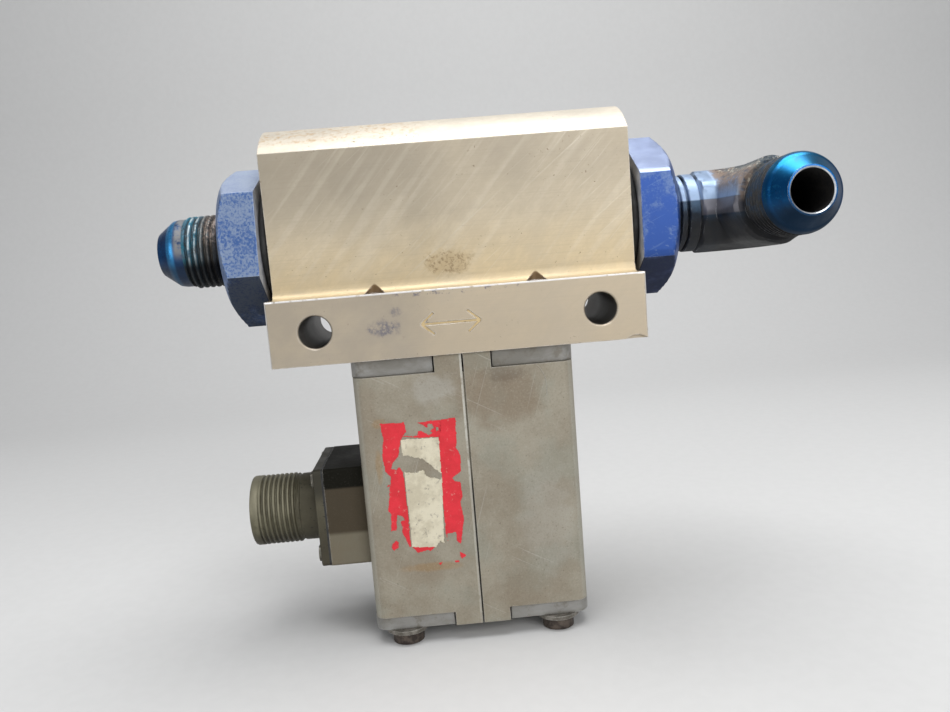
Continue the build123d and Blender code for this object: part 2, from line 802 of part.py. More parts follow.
def gear_outline(teeth, phase):
    """Spur gear outline with stub teeth, one tooth centred on the phase angle in degrees."""
    pitch = gear_module * teeth / 2
    base = pitch * cos(radians(pressure_angle))
    root = pitch - dedendum * gear_module
    tip = pitch + addendum * gear_module
    steps = [root] + ([base] if base > root else []) + [pitch, tip]
    points = []
    for tooth in range(teeth):
        middle = radians(phase) + 2 * pi * tooth / teeth
        flank = [(radius, tooth_half_angle(teeth, radius)) for radius in steps]
        for radius, half in flank:
            points.append((radius * cos(middle - half), radius * sin(middle - half)))
        for radius, half in flank[::-1]:
            points.append((radius * cos(middle + half), radius * sin(middle + half)))
    return make_face(Polyline(*points, close=True))


def gear(teeth, phase, low, high, x, y):
    """Toothed disc between two heights."""
    return Pos(x, y, low) * extrude(gear_outline(teeth, phase), high - low)


def gear_stages():
    """Axis and tooth phase of the output gear, both clusters and the motor pinion, in that order."""
    x, y = 0.0, port_y
    wheel_phase = 0.0
    stages = [(x, y, wheel_phase, None)]
    for angle in stage_angles:
        x += centre_distance * cos(radians(angle))
        y += centre_distance * sin(radians(angle))
        turn = (angle - wheel_phase) * wheel_teeth / pinion_teeth
        pinion_phase = angle + 180 + 180 / pinion_teeth + turn
        wheel_phase = pinion_phase
        stages.append((x, y, wheel_phase, pinion_phase))
    return stages


def output_gear():
    """Last gear, on the output shaft."""
    x, y, phase, _ = gear_stages()[0]
    disc = gear(wheel_teeth, phase, output_gear_bottom, output_gear_bottom + output_gear_thickness, x, y)
    return disc - rod_z(output_shaft_diameter / 2, output_gear_bottom - over, upper_plate_bottom)


def cluster(stage, low):
    """Wheel and pinion cut as one, turning on a fixed arbor."""
    x, y, phase, pinion_phase = gear_stages()[stage]
    high = low + wheel_thickness
    top = high + pinion_width
    body = gear(wheel_teeth, phase, low, high, x, y) + gear(pinion_teeth, pinion_phase, high, top, x, y)
    return body - rod_z(arbor_diameter / 2 + running_clearance, low - over, top + over, x, y)


def second_gear_cluster():
    """Cluster that drives the output gear."""
    return cluster(1, second_wheel_bottom)


def first_gear_cluster():
    """Cluster that the motor's pinion drives."""
    return cluster(2, first_wheel_bottom)


def second_gear_arbor():
    """Fixed pin under the upper gear plate, headed below its cluster."""
    x, y, _, _ = gear_stages()[1]
    low = second_wheel_bottom - arbor_end_play
    pin = rod_z(arbor_diameter / 2, low, upper_plate_top, x, y)
    shoulder = second_wheel_bottom + wheel_thickness + pinion_width + arbor_end_play
    pin += rod_z(arbor_flange_diameter / 2, shoulder, upper_plate_bottom, x, y)
    return pin + rod_z(arbor_flange_diameter / 2, low - arbor_head_height, low, x, y)


def first_gear_arbor():
    """Fixed pin on the lower gear plate."""
    x, y, _, _ = gear_stages()[2]
    tip = first_wheel_bottom + wheel_thickness + pinion_width
    pin = rod_z(arbor_diameter / 2, lower_plate_bottom, tip, x, y)
    return pin + rod_z(arbor_flange_diameter / 2, lower_plate_top, first_wheel_bottom - arbor_end_play, x, y)


def gear_plate(low):
    """Gear plate with notches for the tie screws' columns and holes for the posts."""
    half_width = actuator_width / 2 - housing_wall - gear_plate_margin
    half_depth = actuator_depth / 2 - housing_wall - gear_plate_margin
    high = low + gear_plate_thickness
    plate = block(-half_width, half_width, port_y - half_depth, port_y + half_depth, low, high)
    for x, y in tie_spots():
        plate -= rod_z(tie_column_diameter / 2 + column_clearance, low - over, high + over, x, y)
        away = 1 if y > port_y else -1
        reach = y + away * actuator_depth
        side = 1 if x > 0 else -1
        edge = x + side * actuator_width
        plate -= block(min(x, edge), max(x, edge), min(y, reach), max(y, reach), low - over, high + over)
    return plate


def upper_gear_plate():
    """Plate above the gears, bored for the output bush and the second arbor."""
    x, y, _, _ = gear_stages()[1]
    plate = gear_plate(upper_plate_bottom)
    plate -= rod_z(bush_hole, upper_plate_bottom - over, upper_plate_top + over)
    return plate - rod_z(arbor_diameter / 2, upper_plate_bottom - over, upper_plate_top + over, x, y)


def lower_gear_plate():
    """Plate that carries the first arbor and the motor."""
    x, y, _, _ = gear_stages()[2]
    motor_x, motor_y, _, _ = gear_stages()[3]
    plate = gear_plate(lower_plate_bottom)
    low, high = lower_plate_bottom - over, lower_plate_top + over
    plate -= rod_z(arbor_diameter / 2, low, high, x, y)
    return plate - rod_z(motor_bearing_diameter / 2, low, high, motor_x, motor_y)


def gear_plate_posts():
    """Spacer posts between the two gear plates."""
    inset = post_diameter / 2 + post_room + gear_plate_margin
    side = inset - inner_half_width
    spots = [(side, face * side_post_spread) for face in (-1, 1)]
    spots += [(middle_post_shift, face * (inner_half_depth - inset)) for face in (-1, 1)]
    return Compound([rod_z(post_diameter / 2, lower_plate_top, upper_plate_bottom, x, port_y + y)
                     for x, y in spots])


def output_shaft():
    """Shaft from the output gear up to the stem's tongue."""
    top = body_bottom - running_clearance
    shaft = rod_z(output_shaft_diameter / 2, output_gear_bottom, top)
    slot = tang_width / 2 + running_clearance
    return shaft - block(-output_shaft_diameter, output_shaft_diameter, port_y - slot, port_y + slot,
                         stem_bottom - running_clearance, top + over)


def output_bush(low, high, flange_low):
    """Plain bush with a flange, running on the output shaft."""
    inner = output_shaft_diameter / 2 + running_clearance
    bush = ring_z(bush_radius, inner, low, high)
    return bush + ring_z(bush_radius + bush_flange_margin, inner, flange_low, flange_low + bush_flange_height)


def upper_output_bush():
    """Bush through the housing's roof and the top plate."""
    roof = housing_top - housing_wall
    return output_bush(roof - bush_flange_height, body_bottom - bush_end_setback, roof - bush_flange_height)


def lower_output_bush():
    """Bush in the upper gear plate."""
    return output_bush(upper_plate_bottom, upper_plate_top + bush_flange_height, upper_plate_top)


def output_cam():
    """Cam whose lobe faces one switch when shut and the other when open."""
    low, high = cam_bottom, cam_bottom + cam_thickness
    disc = rod_z(cam_base_diameter / 2, low, high)
    lobe = block(-cam_lobe_radius, 0, port_y - cam_lobe_width / 2, port_y + cam_lobe_width / 2, low, high)
    lobe = lobe & rod_z(cam_lobe_radius, low, high)
    return disc + lobe - rod_z(output_shaft_diameter / 2, low - over, high + over)


def switch_place(turn):
    """Place of a switch beside the cam, at an angle about the stem's axis."""
    return Pos(0, port_y, upper_plate_top) * Rot(0, 0, turn)


def switch_case(turn):
    """Switch case standing on the upper gear plate, with two screw holes."""
    face = cam_lobe_radius + switch_face_gap
    case = block(face, face + switch_depth, -switch_length / 2, switch_length / 2, 0, switch_height)
    middle = cam_bottom + cam_thickness / 2 - upper_plate_top
    bore = button_diameter / 2 + running_clearance
    case -= rod_x(bore, face - over, face + button_stem + button_hole_room, 0, middle)
    for side in (-1, 1):
        case -= rod_x(switch_screw_hole / 2, face - over, face + switch_depth + over,
                      side * switch_hole_spacing / 2, switch_height / 4)
    return switch_place(turn) * case


def switch_button(turn):
    """Push button that the cam's lobe works."""
    middle = cam_bottom + cam_thickness / 2 - upper_plate_top
    face = cam_lobe_radius + switch_face_gap
    tip = cam_lobe_radius + button_gap
    return switch_place(turn) * rod_x(button_diameter / 2, tip, face + button_stem, 0, middle)


def motor_case():
    """Drawn can with a closed foot."""
    x, y, _, _ = gear_stages()[3]
    floor = motor_foot + motor_wall
    case = rod_z(motor_diameter / 2, motor_foot, motor_top, x, y)
    case = fillet(case.edges().filter_by(GeomType.CIRCLE).sort_by(Axis.Z)[0], motor_wall)
    case -= rod_z(motor_diameter / 2 - motor_wall, floor, motor_top + over, x, y)
    bearing_end = floor + motor_bearing_length
    case += rod_z(motor_bearing_diameter / 2 + motor_wall, motor_foot + motor_wall / 2, bearing_end, x, y)
    return case - rod_z(motor_bearing_diameter / 2, floor, motor_top + over, x, y)


def motor_end_bell():
    """Disc that closes the can and holds the upper bearing."""
    x, y, _, _ = gear_stages()[3]
    disc = rod_z(motor_diameter / 2, motor_top, lower_plate_bottom, x, y)
    return disc - rod_z(motor_bearing_diameter / 2, motor_top - over, lower_plate_bottom + over, x, y)


def motor_bearings():
    """Bushes at both ends of the motor's shaft."""
    x, y, _, _ = gear_stages()[3]
    outer = motor_bearing_diameter / 2
    inner = motor_shaft_diameter / 2 + running_clearance
    foot = motor_foot + motor_wall
    upper = ring_z(outer, inner, motor_top, lower_plate_bottom, x, y)
    return Compound([ring_z(outer, inner, foot, foot + motor_bearing_length, x, y), upper])


def motor_shaft():
    """Motor shaft, with its end just short of the second arbor."""
    x, y, _, _ = gear_stages()[3]
    foot = motor_foot + motor_wall + plate_gap
    return rod_z(motor_shaft_diameter / 2, foot, first_wheel_bottom + wheel_thickness, x, y)


def motor_armature():
    """Slotted core on the motor's shaft."""
    x, y, _, _ = gear_stages()[3]
    low = motor_foot + motor_wall + armature_end_room
    high = motor_top - armature_end_room
    middle = (low + high) / 2
    core = rod_z(armature_diameter / 2, low, high, x, y)
    for slot in range(armature_slots):
        cut = Box(2 * armature_slot_depth, armature_slot_width, high - low + over)
        cut = Pos(armature_diameter / 2, 0, 0) * cut
        core -= Pos(x, y, middle) * Rot(0, 0, 360 * slot / armature_slots) * cut
    return core - rod_z(motor_shaft_diameter / 2, low - over, high + over, x, y)


def motor_pinion():
    """Pinion pressed on the motor's shaft."""
    x, y, _, phase = gear_stages()[3]
    low = first_wheel_bottom - pinion_setback
    high = first_wheel_bottom + wheel_thickness
    pinion = gear(pinion_teeth, phase, low, high, x, y)
    return pinion - rod_z(motor_shaft_diameter / 2, low - over, high + over, x, y)


pieces = {
    "valve_body": valve_body(),
    "inlet_fitting": inlet_fitting(),
    "outlet_adapter": outlet_adapter(),
    "outlet_elbow": outlet_elbow(),
    "inlet_port_seal": port_seal(-1),
    "outlet_port_seal": port_seal(1),
    "inlet_seat": seat(-1),
    "outlet_seat": seat(1),
    "inlet_seat_spring": seat_spring(-1),
    "outlet_seat_spring": seat_spring(1),
    "ball": ball(),
    "stem": stem(),
    "stem_seals": stem_seals(),
    "stem_gland": stem_gland(),
    "top_plate": top_plate(),
    "bottom_plate": bottom_plate(),
    "housing_left": housing_left(),
    "housing_right": housing_right(),
    "housing_gasket": housing_gasket(),
    "tie_screws": tie_screws(),
    "tie_washers": tie_washers(),
    "connector_gasket": connector_gasket(),
    "connector_shell": connector_shell(),
    "connector_insert": connector_insert(),
    "connector_pins": connector_pins(),
    "connector_screws": connector_screws(),
    "upper_gear_plate": upper_gear_plate(),
    "lower_gear_plate": lower_gear_plate(),
    "gear_plate_posts": gear_plate_posts(),
    "output_shaft": output_shaft(),
    "output_gear": output_gear(),
    "output_cam": output_cam(),
    "upper_output_bush": upper_output_bush(),
    "lower_output_bush": lower_output_bush(),
    "second_gear_cluster": second_gear_cluster(),
    "second_gear_arbor": second_gear_arbor(),
    "first_gear_cluster": first_gear_cluster(),
    "first_gear_arbor": first_gear_arbor(),
    "closed_limit_switch": switch_case(180),
    "closed_switch_button": switch_button(180),
    "open_limit_switch": switch_case(270),
    "open_switch_button": switch_button(270),
    "motor_case": motor_case(),
    "motor_end_bell": motor_end_bell(),
    "motor_bearings": motor_bearings(),
    "motor_shaft": motor_shaft(),
    "motor_armature": motor_armature(),
    "motor_pinion": motor_pinion(),
}

for name, solid in pieces.items():
    export_step(solid, f"parts/{name}.step")
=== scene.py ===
import math

import bmesh
import bpy
from mathutils import Matrix, Vector, noise


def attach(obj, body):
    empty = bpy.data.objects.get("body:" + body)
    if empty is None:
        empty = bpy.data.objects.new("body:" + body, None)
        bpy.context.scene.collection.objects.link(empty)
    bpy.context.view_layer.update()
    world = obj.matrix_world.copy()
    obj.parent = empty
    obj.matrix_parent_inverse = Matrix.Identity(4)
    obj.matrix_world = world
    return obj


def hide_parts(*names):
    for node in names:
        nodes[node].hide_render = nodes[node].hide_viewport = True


MM = 0.001
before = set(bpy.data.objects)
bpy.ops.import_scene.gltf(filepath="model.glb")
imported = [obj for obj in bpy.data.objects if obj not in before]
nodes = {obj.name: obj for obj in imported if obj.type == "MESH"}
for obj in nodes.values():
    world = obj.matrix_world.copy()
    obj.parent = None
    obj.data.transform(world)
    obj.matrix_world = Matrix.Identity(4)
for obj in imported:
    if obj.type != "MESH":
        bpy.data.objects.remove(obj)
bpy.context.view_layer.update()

# Places shared with the solids, in millimetres; each mask below gives its places and sizes so too
PORT_Y = -19.75
PORT_Z = 22.1
BORE = 4.965
HEX_INNER = 47.6
HEX_OUTER = 57.5
CREASE = PORT_Z + 22.0
FLANGE_TOP = 8.3
FLANGE_END = 47.4
FLANGE_FRONT = -39.5
HOLE_X = 35.7
RELIEF_X = 20.2
HOUSING_FRONT = -38.4
HOUSING_SIDE = 28.1
CONNECTOR_Z = -49.9
FLOOR_Z = -84.65

# Colours used by more than one coat
PALE_GOLD = (0.74, 0.68, 0.56)
# Near black for crust and for painted shade in thread roots and bores.
GRIME_AND_SHADE_BLACK = (0.022, 0.02, 0.018)


def eased(value, low, high):
    """Smooth step of a plain number."""
    t = min(1.0, max(0.0, (value - low) / (high - low)))
    return t * t * (3 - 2 * t)


# Node materials

class Shade:
    """One principled material, whose helpers read sizes and places in millimetres."""

    def __init__(self, name):
        self.material = bpy.data.materials.new(name)
        self.material.use_nodes = True
        self.tree = self.material.node_tree
        self.tree.nodes.clear()
        self.shader = self.tree.nodes.new("ShaderNodeBsdfPrincipled")
        out = self.tree.nodes.new("ShaderNodeOutputMaterial")
        self.tree.links.new(self.shader.outputs[0], out.inputs[0])
        coord = self.tree.nodes.new("ShaderNodeTexCoord")
        self.place = coord.outputs["Object"]
        self.axes = self.split(self.place)
        self.facing_up = self.split(coord.outputs["Normal"])["z"]
        self.colour = None

    def put(self, socket, value):
        """A link from a node's output, or else a plain value."""
        if isinstance(value, bpy.types.NodeSocket):
            self.tree.links.new(value, socket)
        elif socket.type == "RGBA":
            socket.default_value = (*value, 1.0)
        else:
            socket.default_value = value

    def node(self, kind, inputs, out=0, **settings):
        """Output of a new node with the inputs and settings given."""
        made = self.tree.nodes.new("ShaderNode" + kind)
        for key, value in settings.items():
            setattr(made, key, value)
        for key, value in inputs.items():
            self.put(made.inputs[key], value)
        return made.outputs[out]

    def split(self, vector):
        made = self.tree.nodes.new("ShaderNodeSeparateXYZ")
        self.tree.links.new(vector, made.inputs[0])
        return dict(zip("xyz", made.outputs))

    def calc(self, operation, *values):
        """Math node, chained when it gets more than two values."""
        result = values[0]
        for value in values[1:]:
            result = self.node("Math", {0: result, 1: value}, operation=operation)
        return result

    def times(self, *values):
        return self.calc("MULTIPLY", *values)

    def plus(self, *values):
        return self.calc("ADD", *values)

    def less(self, value, part):
        return self.calc("SUBTRACT", value, part)

    def most(self, *values):
        return self.calc("MAXIMUM", *values)

    def length(self, a, b):
        """Length of the sides a and b taken together."""
        squares = self.plus(self.times(a, a), self.times(b, b))
        return self.node("Math", {0: squares}, operation="SQRT")

    def ramp(self, value, low, high, start=0.0, end=1.0):
        inputs = {0: value, 1: low, 2: high, 3: start, 4: end}
        return self.node("MapRange", inputs, interpolation_type="SMOOTHSTEP")

    def spread(self, cloud, start, end):
        """From start to end as a cloud goes from thin to thick."""
        return self.ramp(cloud, 0.3, 0.7, start, end)

    def cloud(self, size, detail=3, rough=0.55, shift=0.0, stretch=(1, 1, 1), turn=(0, 0, 0)):
        """Noise whose blotches are about the size given."""
        place = self.place
        if any(turn):
            angles = tuple(math.radians(a) for a in turn)
            place = self.node("Mapping", {"Vector": place, "Rotation": angles})
        location = (shift, shift * 0.7, -shift)
        place = self.node("Mapping", {"Vector": place, "Scale": stretch, "Location": location})
        inputs = {"Vector": place, "Scale": 1 / (size * MM), "Detail": detail, "Roughness": rough}
        return self.node("TexNoise", inputs)

    def patches(self, size, low, high, detail=4, rough=0.55, shift=0.0, floor=0.0):
        """Noise cut to patches: floor below low, 1 above high."""
        return self.ramp(self.cloud(size, detail, rough, shift), low, high, floor, 1.0)

    def scratches(self, size, turn, low, high, shift, length):
        """Thin lines along one direction of the front face."""
        return self.ramp(self.cloud(size, 2, 0.5, shift, (1 / length, 1, 1), turn), low, high)

    def beyond(self, axis, start, end):
        """0 before start and 1 past end, along an axis in either direction."""
        if end < start:
            return self.ramp(self.axes[axis], end * MM, start * MM, 1.0, 0.0)
        return self.ramp(self.axes[axis], start * MM, end * MM)

    def between(self, axis, start, end, soft):
        """1 between two places along an axis, with soft ends."""
        return self.times(self.beyond(axis, start, start + soft), self.beyond(axis, end, end - soft))

    def spot(self, x, z, half_x, half_z, ragged, size):
        """Ragged patch on the face turned to the viewer."""
        across = self.calc("DIVIDE", self.less(self.axes["x"], x * MM), half_x * MM)
        up = self.calc("DIVIDE", self.less(self.axes["z"], z * MM), half_z * MM)
        away = self.plus(self.length(across, up), self.times(self.cloud(size, 4), ragged))
        inner = 0.45 + ragged / 2
        outer = 1.0 + ragged / 2
        return self.times(self.ramp(away, inner, outer, 1.0, 0.0), self.beyond("y", -30, -34))

    def away(self, first, second, centre):
        """Distance from a line along the third axis."""
        a = self.less(self.axes[first], centre[0] * MM)
        b = self.less(self.axes[second], centre[1] * MM)
        return self.length(a, b)

    def pillar(self, first, second, centre, radius):
        """1 within a radius of a line along the third axis, with a soft rim."""
        soft = 0.12
        return self.ramp(self.away(first, second, centre), radius * MM, (radius + soft) * MM, 1.0, 0.0)

    def upward(self, low, high):
        """0 to 1 as the surface's upward share goes from low to high."""
        if high < low:
            return self.ramp(self.facing_up, high, low, 1.0, 0.0)
        return self.ramp(self.facing_up, low, high)

    def rounded(self, radius):
        return self.node("Bevel", {"Radius": radius * MM}, samples=4)

    def edges(self, radius, low=0.02, high=0.25):
        """1 along outer and inner edges."""
        plain = self.tree.nodes.new("ShaderNodeNewGeometry").outputs["Normal"]
        inputs = {0: self.rounded(radius), 1: plain}
        dot = self.node("VectorMath", inputs, out=1, operation="DOT_PRODUCT")
        return self.ramp(self.less(1.0, dot), low, high)

    def rubbed(self, radius, size, low, high, shift=0.06):
        """Edges, in patches."""
        return self.times(self.edges(radius), self.patches(size, low, high, shift=shift))

    def painted_crevice_shade(self, reach, low=0.25, high=0.75):
        """1 in corners and gaps, found by ambient occlusion: the mask for painted shade."""
        made = self.node("AmbientOcclusion", {"Distance": reach * MM}, out=1, samples=6)
        return self.ramp(self.less(1.0, made), low, high)

    def bump(self, height, depth, radius=None):
        """Relief over the surface, over rounded edges where a radius is given."""
        inputs = {"Strength": 1.0, "Distance": depth * MM, "Height": height}
        if radius:
            inputs["Normal"] = self.rounded(radius)
        return self.node("Bump", inputs)

    def mix(self, amount, a, b):
        made = self.tree.nodes.new("ShaderNodeMix")
        made.data_type = "RGBA"
        for index, value in ((0, amount), (6, a), (7, b)):
            self.put(made.inputs[index], value)
        return made.outputs[2]

    def base(self, mask, first, second):
        """Ground colour, from first to second as the mask goes from 0 to 1."""
        self.colour = self.mix(mask, first, second)

    def coat(self, film, *amounts):
        """Colour laid over what is there, as strongly as the amounts multiplied."""
        self.colour = self.mix(self.times(*amounts), self.colour, film)

    def finish(self, metallic, roughness, normal=None, specular=0.5):
        """The material, once the shader has its colour and the values given."""
        values = {
            "Base Color": self.colour,
            "Metallic": metallic,
            "Roughness": roughness,
            "Specular IOR Level": specular,
        }
        if normal is not None:
            values["Normal"] = normal
        for key, value in values.items():
            self.put(self.shader.inputs[key], value)
        return self.material


# Valve body

def body_tones(s):
    """Gold near the flange with painted sheen, grey near the top with painted shade, each partly the film's
    own tone; painted shade to the upper left, painted highlight on the crown and a stained rim.
    """
    crown = s.beyond("z", CREASE - 0.2, CREASE + 0.2)
    below_crown = s.beyond("z", CREASE + 0.2, CREASE - 0.2)
    # Gold towards the flange: partly the film's tone, partly painted sheen where the face catches more light
    # low down.
    gold_and_painted_sheen = s.times(s.beyond("z", 30, 9), s.patches(15, 0.25, 0.6, 3, shift=0.03, floor=0.5))
    s.coat((0.64, 0.505, 0.295), gold_and_painted_sheen, 0.75)
    # Grey towards the top: partly the film's tone, partly painted shade.
    grey_and_painted_shade = s.times(s.beyond("z", 22, 42), s.patches(21, 0.25, 0.65, 3, shift=0.02, floor=0.5))
    s.coat((0.36, 0.315, 0.25), grey_and_painted_shade, below_crown, 0.6)
    # Painted shade over the upper left of the face.
    shaded = s.times(s.beyond("z", 18, 34), s.beyond("x", 2, -22))
    s.coat((0.3, 0.265, 0.21), shaded, below_crown, 0.45)
    # Paler crown: painted highlight of the lit roof.
    s.coat((0.6, 0.565, 0.5), crown, 0.6)
    rim = s.times(s.beyond("z", 45.6, 46.8), s.patches(1.5, 0.5, 0.62, 5, 0.7, 0.09))
    s.coat((0.42, 0.27, 0.13), rim, crown, s.beyond("x", -2, -12), 0.7)


def body_scratches(s):
    """Fine scratches, broad faint bands, mottle and brushing marks."""
    steep = s.scratches(0.6, (0, 38, 0), 0.6, 0.72, 0.0, 90.0)
    steeper = s.scratches(0.45, (0, 47, 0), 0.62, 0.72, 0.05, 90.0)
    lines = s.most(steep, steeper)
    upper = s.times(lines, s.beyond("z", 6, 14), s.patches(17, 0.36, 0.6, 2, shift=0.07))
    s.coat(PALE_GOLD, upper, 0.22)
    bands = s.scratches(2.6, (0, 50, 0), 0.5, 0.66, 0.09, 24.0)
    s.coat(PALE_GOLD, bands, s.beyond("z", 10, 16), 0.16)
    mottle = s.cloud(1.6, 5, 0.7, 0.12, (0.5, 1, 1), (0, 40, 0))
    s.coat((0.3, 0.25, 0.18), s.ramp(mottle, 0.42, 0.62, 0.12, 0.0))
    brushed = s.cloud(0.35, 3, 0.6, 0.02, (1 / 60, 1, 1))
    s.coat((0.3, 0.26, 0.2), s.ramp(brushed, 0.45, 0.75), 0.16)
    return lines, upper, brushed


def body_stains(s):
    """Brown specks and one flecked stain over the flange."""
    specks = s.times(s.patches(0.9, 0.66, 0.74, 2, 0.6, 0.01), s.patches(11, 0.42, 0.62, 3, shift=0.04))
    stain = s.spot(-1.5, 14.5, 7.5, 4.0, 0.9, 2.2)
    s.coat((0.44, 0.335, 0.19), stain, 0.45)
    s.coat((0.16, 0.11, 0.06), specks, 0.7)
    s.coat((0.2, 0.135, 0.06), stain, s.patches(0.8, 0.5, 0.6, 4, 0.75, 0.013), 0.6)
    return s.most(specks, stain)


def flange_marks(s):
    """Greyer flange, with a smudge and ink on its left and a smear under its upper edge."""
    foot = s.times(s.less(1.0, s.beyond("z", FLANGE_TOP - 0.1, FLANGE_TOP + 0.3)), 0.65)
    s.coat((0.45, 0.39, 0.315), foot)
    smudge = s.times(s.beyond("x", -4, -16), s.patches(7, 0.3, 0.6, shift=0.05, floor=0.6))
    s.coat((0.27, 0.245, 0.215), foot, smudge, 0.6)
    blot = s.spot(-18.6, -0.4, 5.0, 2.6, 1.2, 1.8)
    drop = s.times(s.spot(-15.5, 3.4, 1.8, 1.5, 1.2, 1.2), 0.7)
    ink = s.times(s.most(blot, drop), s.patches(0.9, 0.36, 0.62, 5, 0.75, 0.07))
    smear = s.times(s.spot(-2, 7.6, 22, 0.9, 1.0, 1.5), s.patches(1.8, 0.54, 0.64, 5, 0.75, 0.02))
    s.coat((0.13, 0.13, 0.17), s.most(ink, smear), 0.8)


def body_hollows(s):
    """Relief cuts and mounting holes painted dark as shade in their hollows, and bright metal in the arrow.
    """
    over_flange = s.times(s.beyond("z", FLANGE_TOP - 0.1, FLANGE_TOP + 0.05), s.beyond("z", 12.0, 11.6))
    for side in (-1, 1):
        painted_relief_shade = s.pillar("x", "y", (side * RELIEF_X, FLANGE_FRONT), 2.64)
        # Dark brown inside each cut beside the flange: painted shade in the hollow.
        s.coat((0.115, 0.06, 0.018), painted_relief_shade, over_flange, 0.92)
        painted_hole_shade = s.pillar("x", "z", (side * HOLE_X, 0.0), 4.1)
        # Near black inside the mounting holes: painted shade.
        s.coat((0.03, 0.024, 0.018), painted_hole_shade, 0.94)
    deep = s.times(s.beyond("y", FLANGE_FRONT + 0.08, FLANGE_FRONT + 0.14), s.beyond("y", -39.0, -39.1))
    s.coat((0.74, 0.56, 0.28), deep, s.between("x", -11, 7, 0.5), 0.8)


def body_edges(s):
    """Rubbed edges, a pale line along the flange's upper edge and ends that is partly wear and partly painted
    highlight, nicks and painted shade in corners.
    """
    worn = s.rubbed(0.45, 2.5, 0.3, 0.6)
    s.coat((0.86, 0.85, 0.82), worn, 0.8)
    # Pale line along the flange's upper edge and ends: partly wear, partly painted highlight of the lit edge.
    front = s.beyond("y", FLANGE_FRONT + 0.5, FLANGE_FRONT + 0.3)
    top = s.times(s.between("z", FLANGE_TOP - 0.45, FLANGE_TOP + 0.2, 0.12), front)
    start, end = FLANGE_END - 0.3, FLANGE_END - 0.15
    ends = s.times(s.plus(s.beyond("x", -start, -end), s.beyond("x", start, end)), front)
    s.coat((0.9, 0.9, 0.9), s.most(top, ends), s.patches(2.2, 0.3, 0.42, shift=0.03), 0.75)
    s.coat((0.17, 0.15, 0.15), s.rubbed(0.6, 1.4, 0.6, 0.68, 0.08))
    # Brown darkening in corners and gaps: painted shade.
    s.coat((0.2, 0.16, 0.11), s.painted_crevice_shade(1.6), 0.55)
    return worn


def body_film():
    """Dull gold film over machined aluminium."""
    s = Shade("body_film")
    tone = s.cloud(26, 5, 0.6)
    s.base(s.ramp(tone, 0.35, 0.68), (0.47, 0.405, 0.3), (0.575, 0.495, 0.365))
    body_tones(s)
    lines, upper, brushed = body_scratches(s)
    soiled = body_stains(s)
    flange_marks(s)
    body_hollows(s)
    worn = body_edges(s)
    rough = s.plus(s.spread(tone, 0.42, 0.56), s.times(soiled, 0.3))
    rough = s.less(rough, s.times(s.most(upper, worn), 0.12))
    height = s.less(s.times(brushed, 0.25), s.times(lines, 0.6))
    return s.finish(0.45, rough, s.bump(height, 0.02, 0.25))


# End fittings

def blue(name, deep, pale, wear, grime_and_shade, soiling, metallic, rough, share=0.7,
         painted_sky_sheen=(0.6, 0.67, 0.8), shadow=None):
    """Blue anodised aluminium, worn pale, soiled in patches with painted shade in corners, painted shade
    under downward faces and painted sky sheen on upward ones; shadow gives the heights between which painted
    shadow darkens it.
    """
    s = Shade(name)
    broad = s.cloud(7, 6, 0.65, 0.02)
    fine = s.cloud(0.6, 4, 0.7)
    level = s.plus(s.times(broad, share), s.times(fine, 1 - share))
    s.base(s.times(s.ramp(level, 0.62 - 0.3 * wear, 0.78 - 0.3 * wear), min(1.0, 0.35 + wear)), deep, pale)
    lines = s.scratches(0.6, (0, 25, 0), 0.63, 0.7, 0.02, 25.0)
    s.coat(pale, s.most(lines, s.scratches(0.7, (30, -35, 0), 0.64, 0.7, 0.05, 25.0)), 0.5)
    s.coat((0.72, 0.74, 0.76), s.rubbed(0.4, 1.8, 0.34, 0.58, 0.04), 0.85)
    # Soiling in patches, with painted shade in corners and gaps.
    film = s.patches(4, 0.62 - 0.3 * soiling, 0.8 - 0.3 * soiling, 5, 0.65, 0.06)
    film = s.most(s.times(film, min(1.0, 2 * soiling)), s.times(s.painted_crevice_shade(1.2), 0.8))
    s.coat(grime_and_shade, film)
    # Near black under downward faces: painted shade.
    painted_underside_shade = s.times(s.upward(-0.15, -0.6), s.ramp(broad, 0.2, 0.5, 0.7, 1.0))
    s.coat((0.014, 0.014, 0.016), painted_underside_shade, 0.85)
    # Paler on upward faces: painted sky sheen.
    s.coat(painted_sky_sheen, s.upward(0.3, 0.8), 0.45)
    if shadow:
        # Darker below the heights given: painted shadow.
        low = s.times(s.beyond("z", *shadow), 0.8)
        painted_underside_shade = s.most(painted_underside_shade, low)
        s.coat((0.003, 0.018, 0.042), low)
    dull = s.most(s.times(film, 0.8), s.times(painted_underside_shade, 0.7))
    roughness = s.plus(s.spread(level, *rough), s.times(dull, 0.3))
    metal = s.times(s.less(1.0, dull), metallic)
    height = s.plus(s.times(fine, 0.4), s.times(film, 0.8))
    specular = s.less(0.5, s.times(painted_underside_shade, 0.42))
    return s.finish(metal, roughness, s.bump(height, 0.03, 0.2), specular)


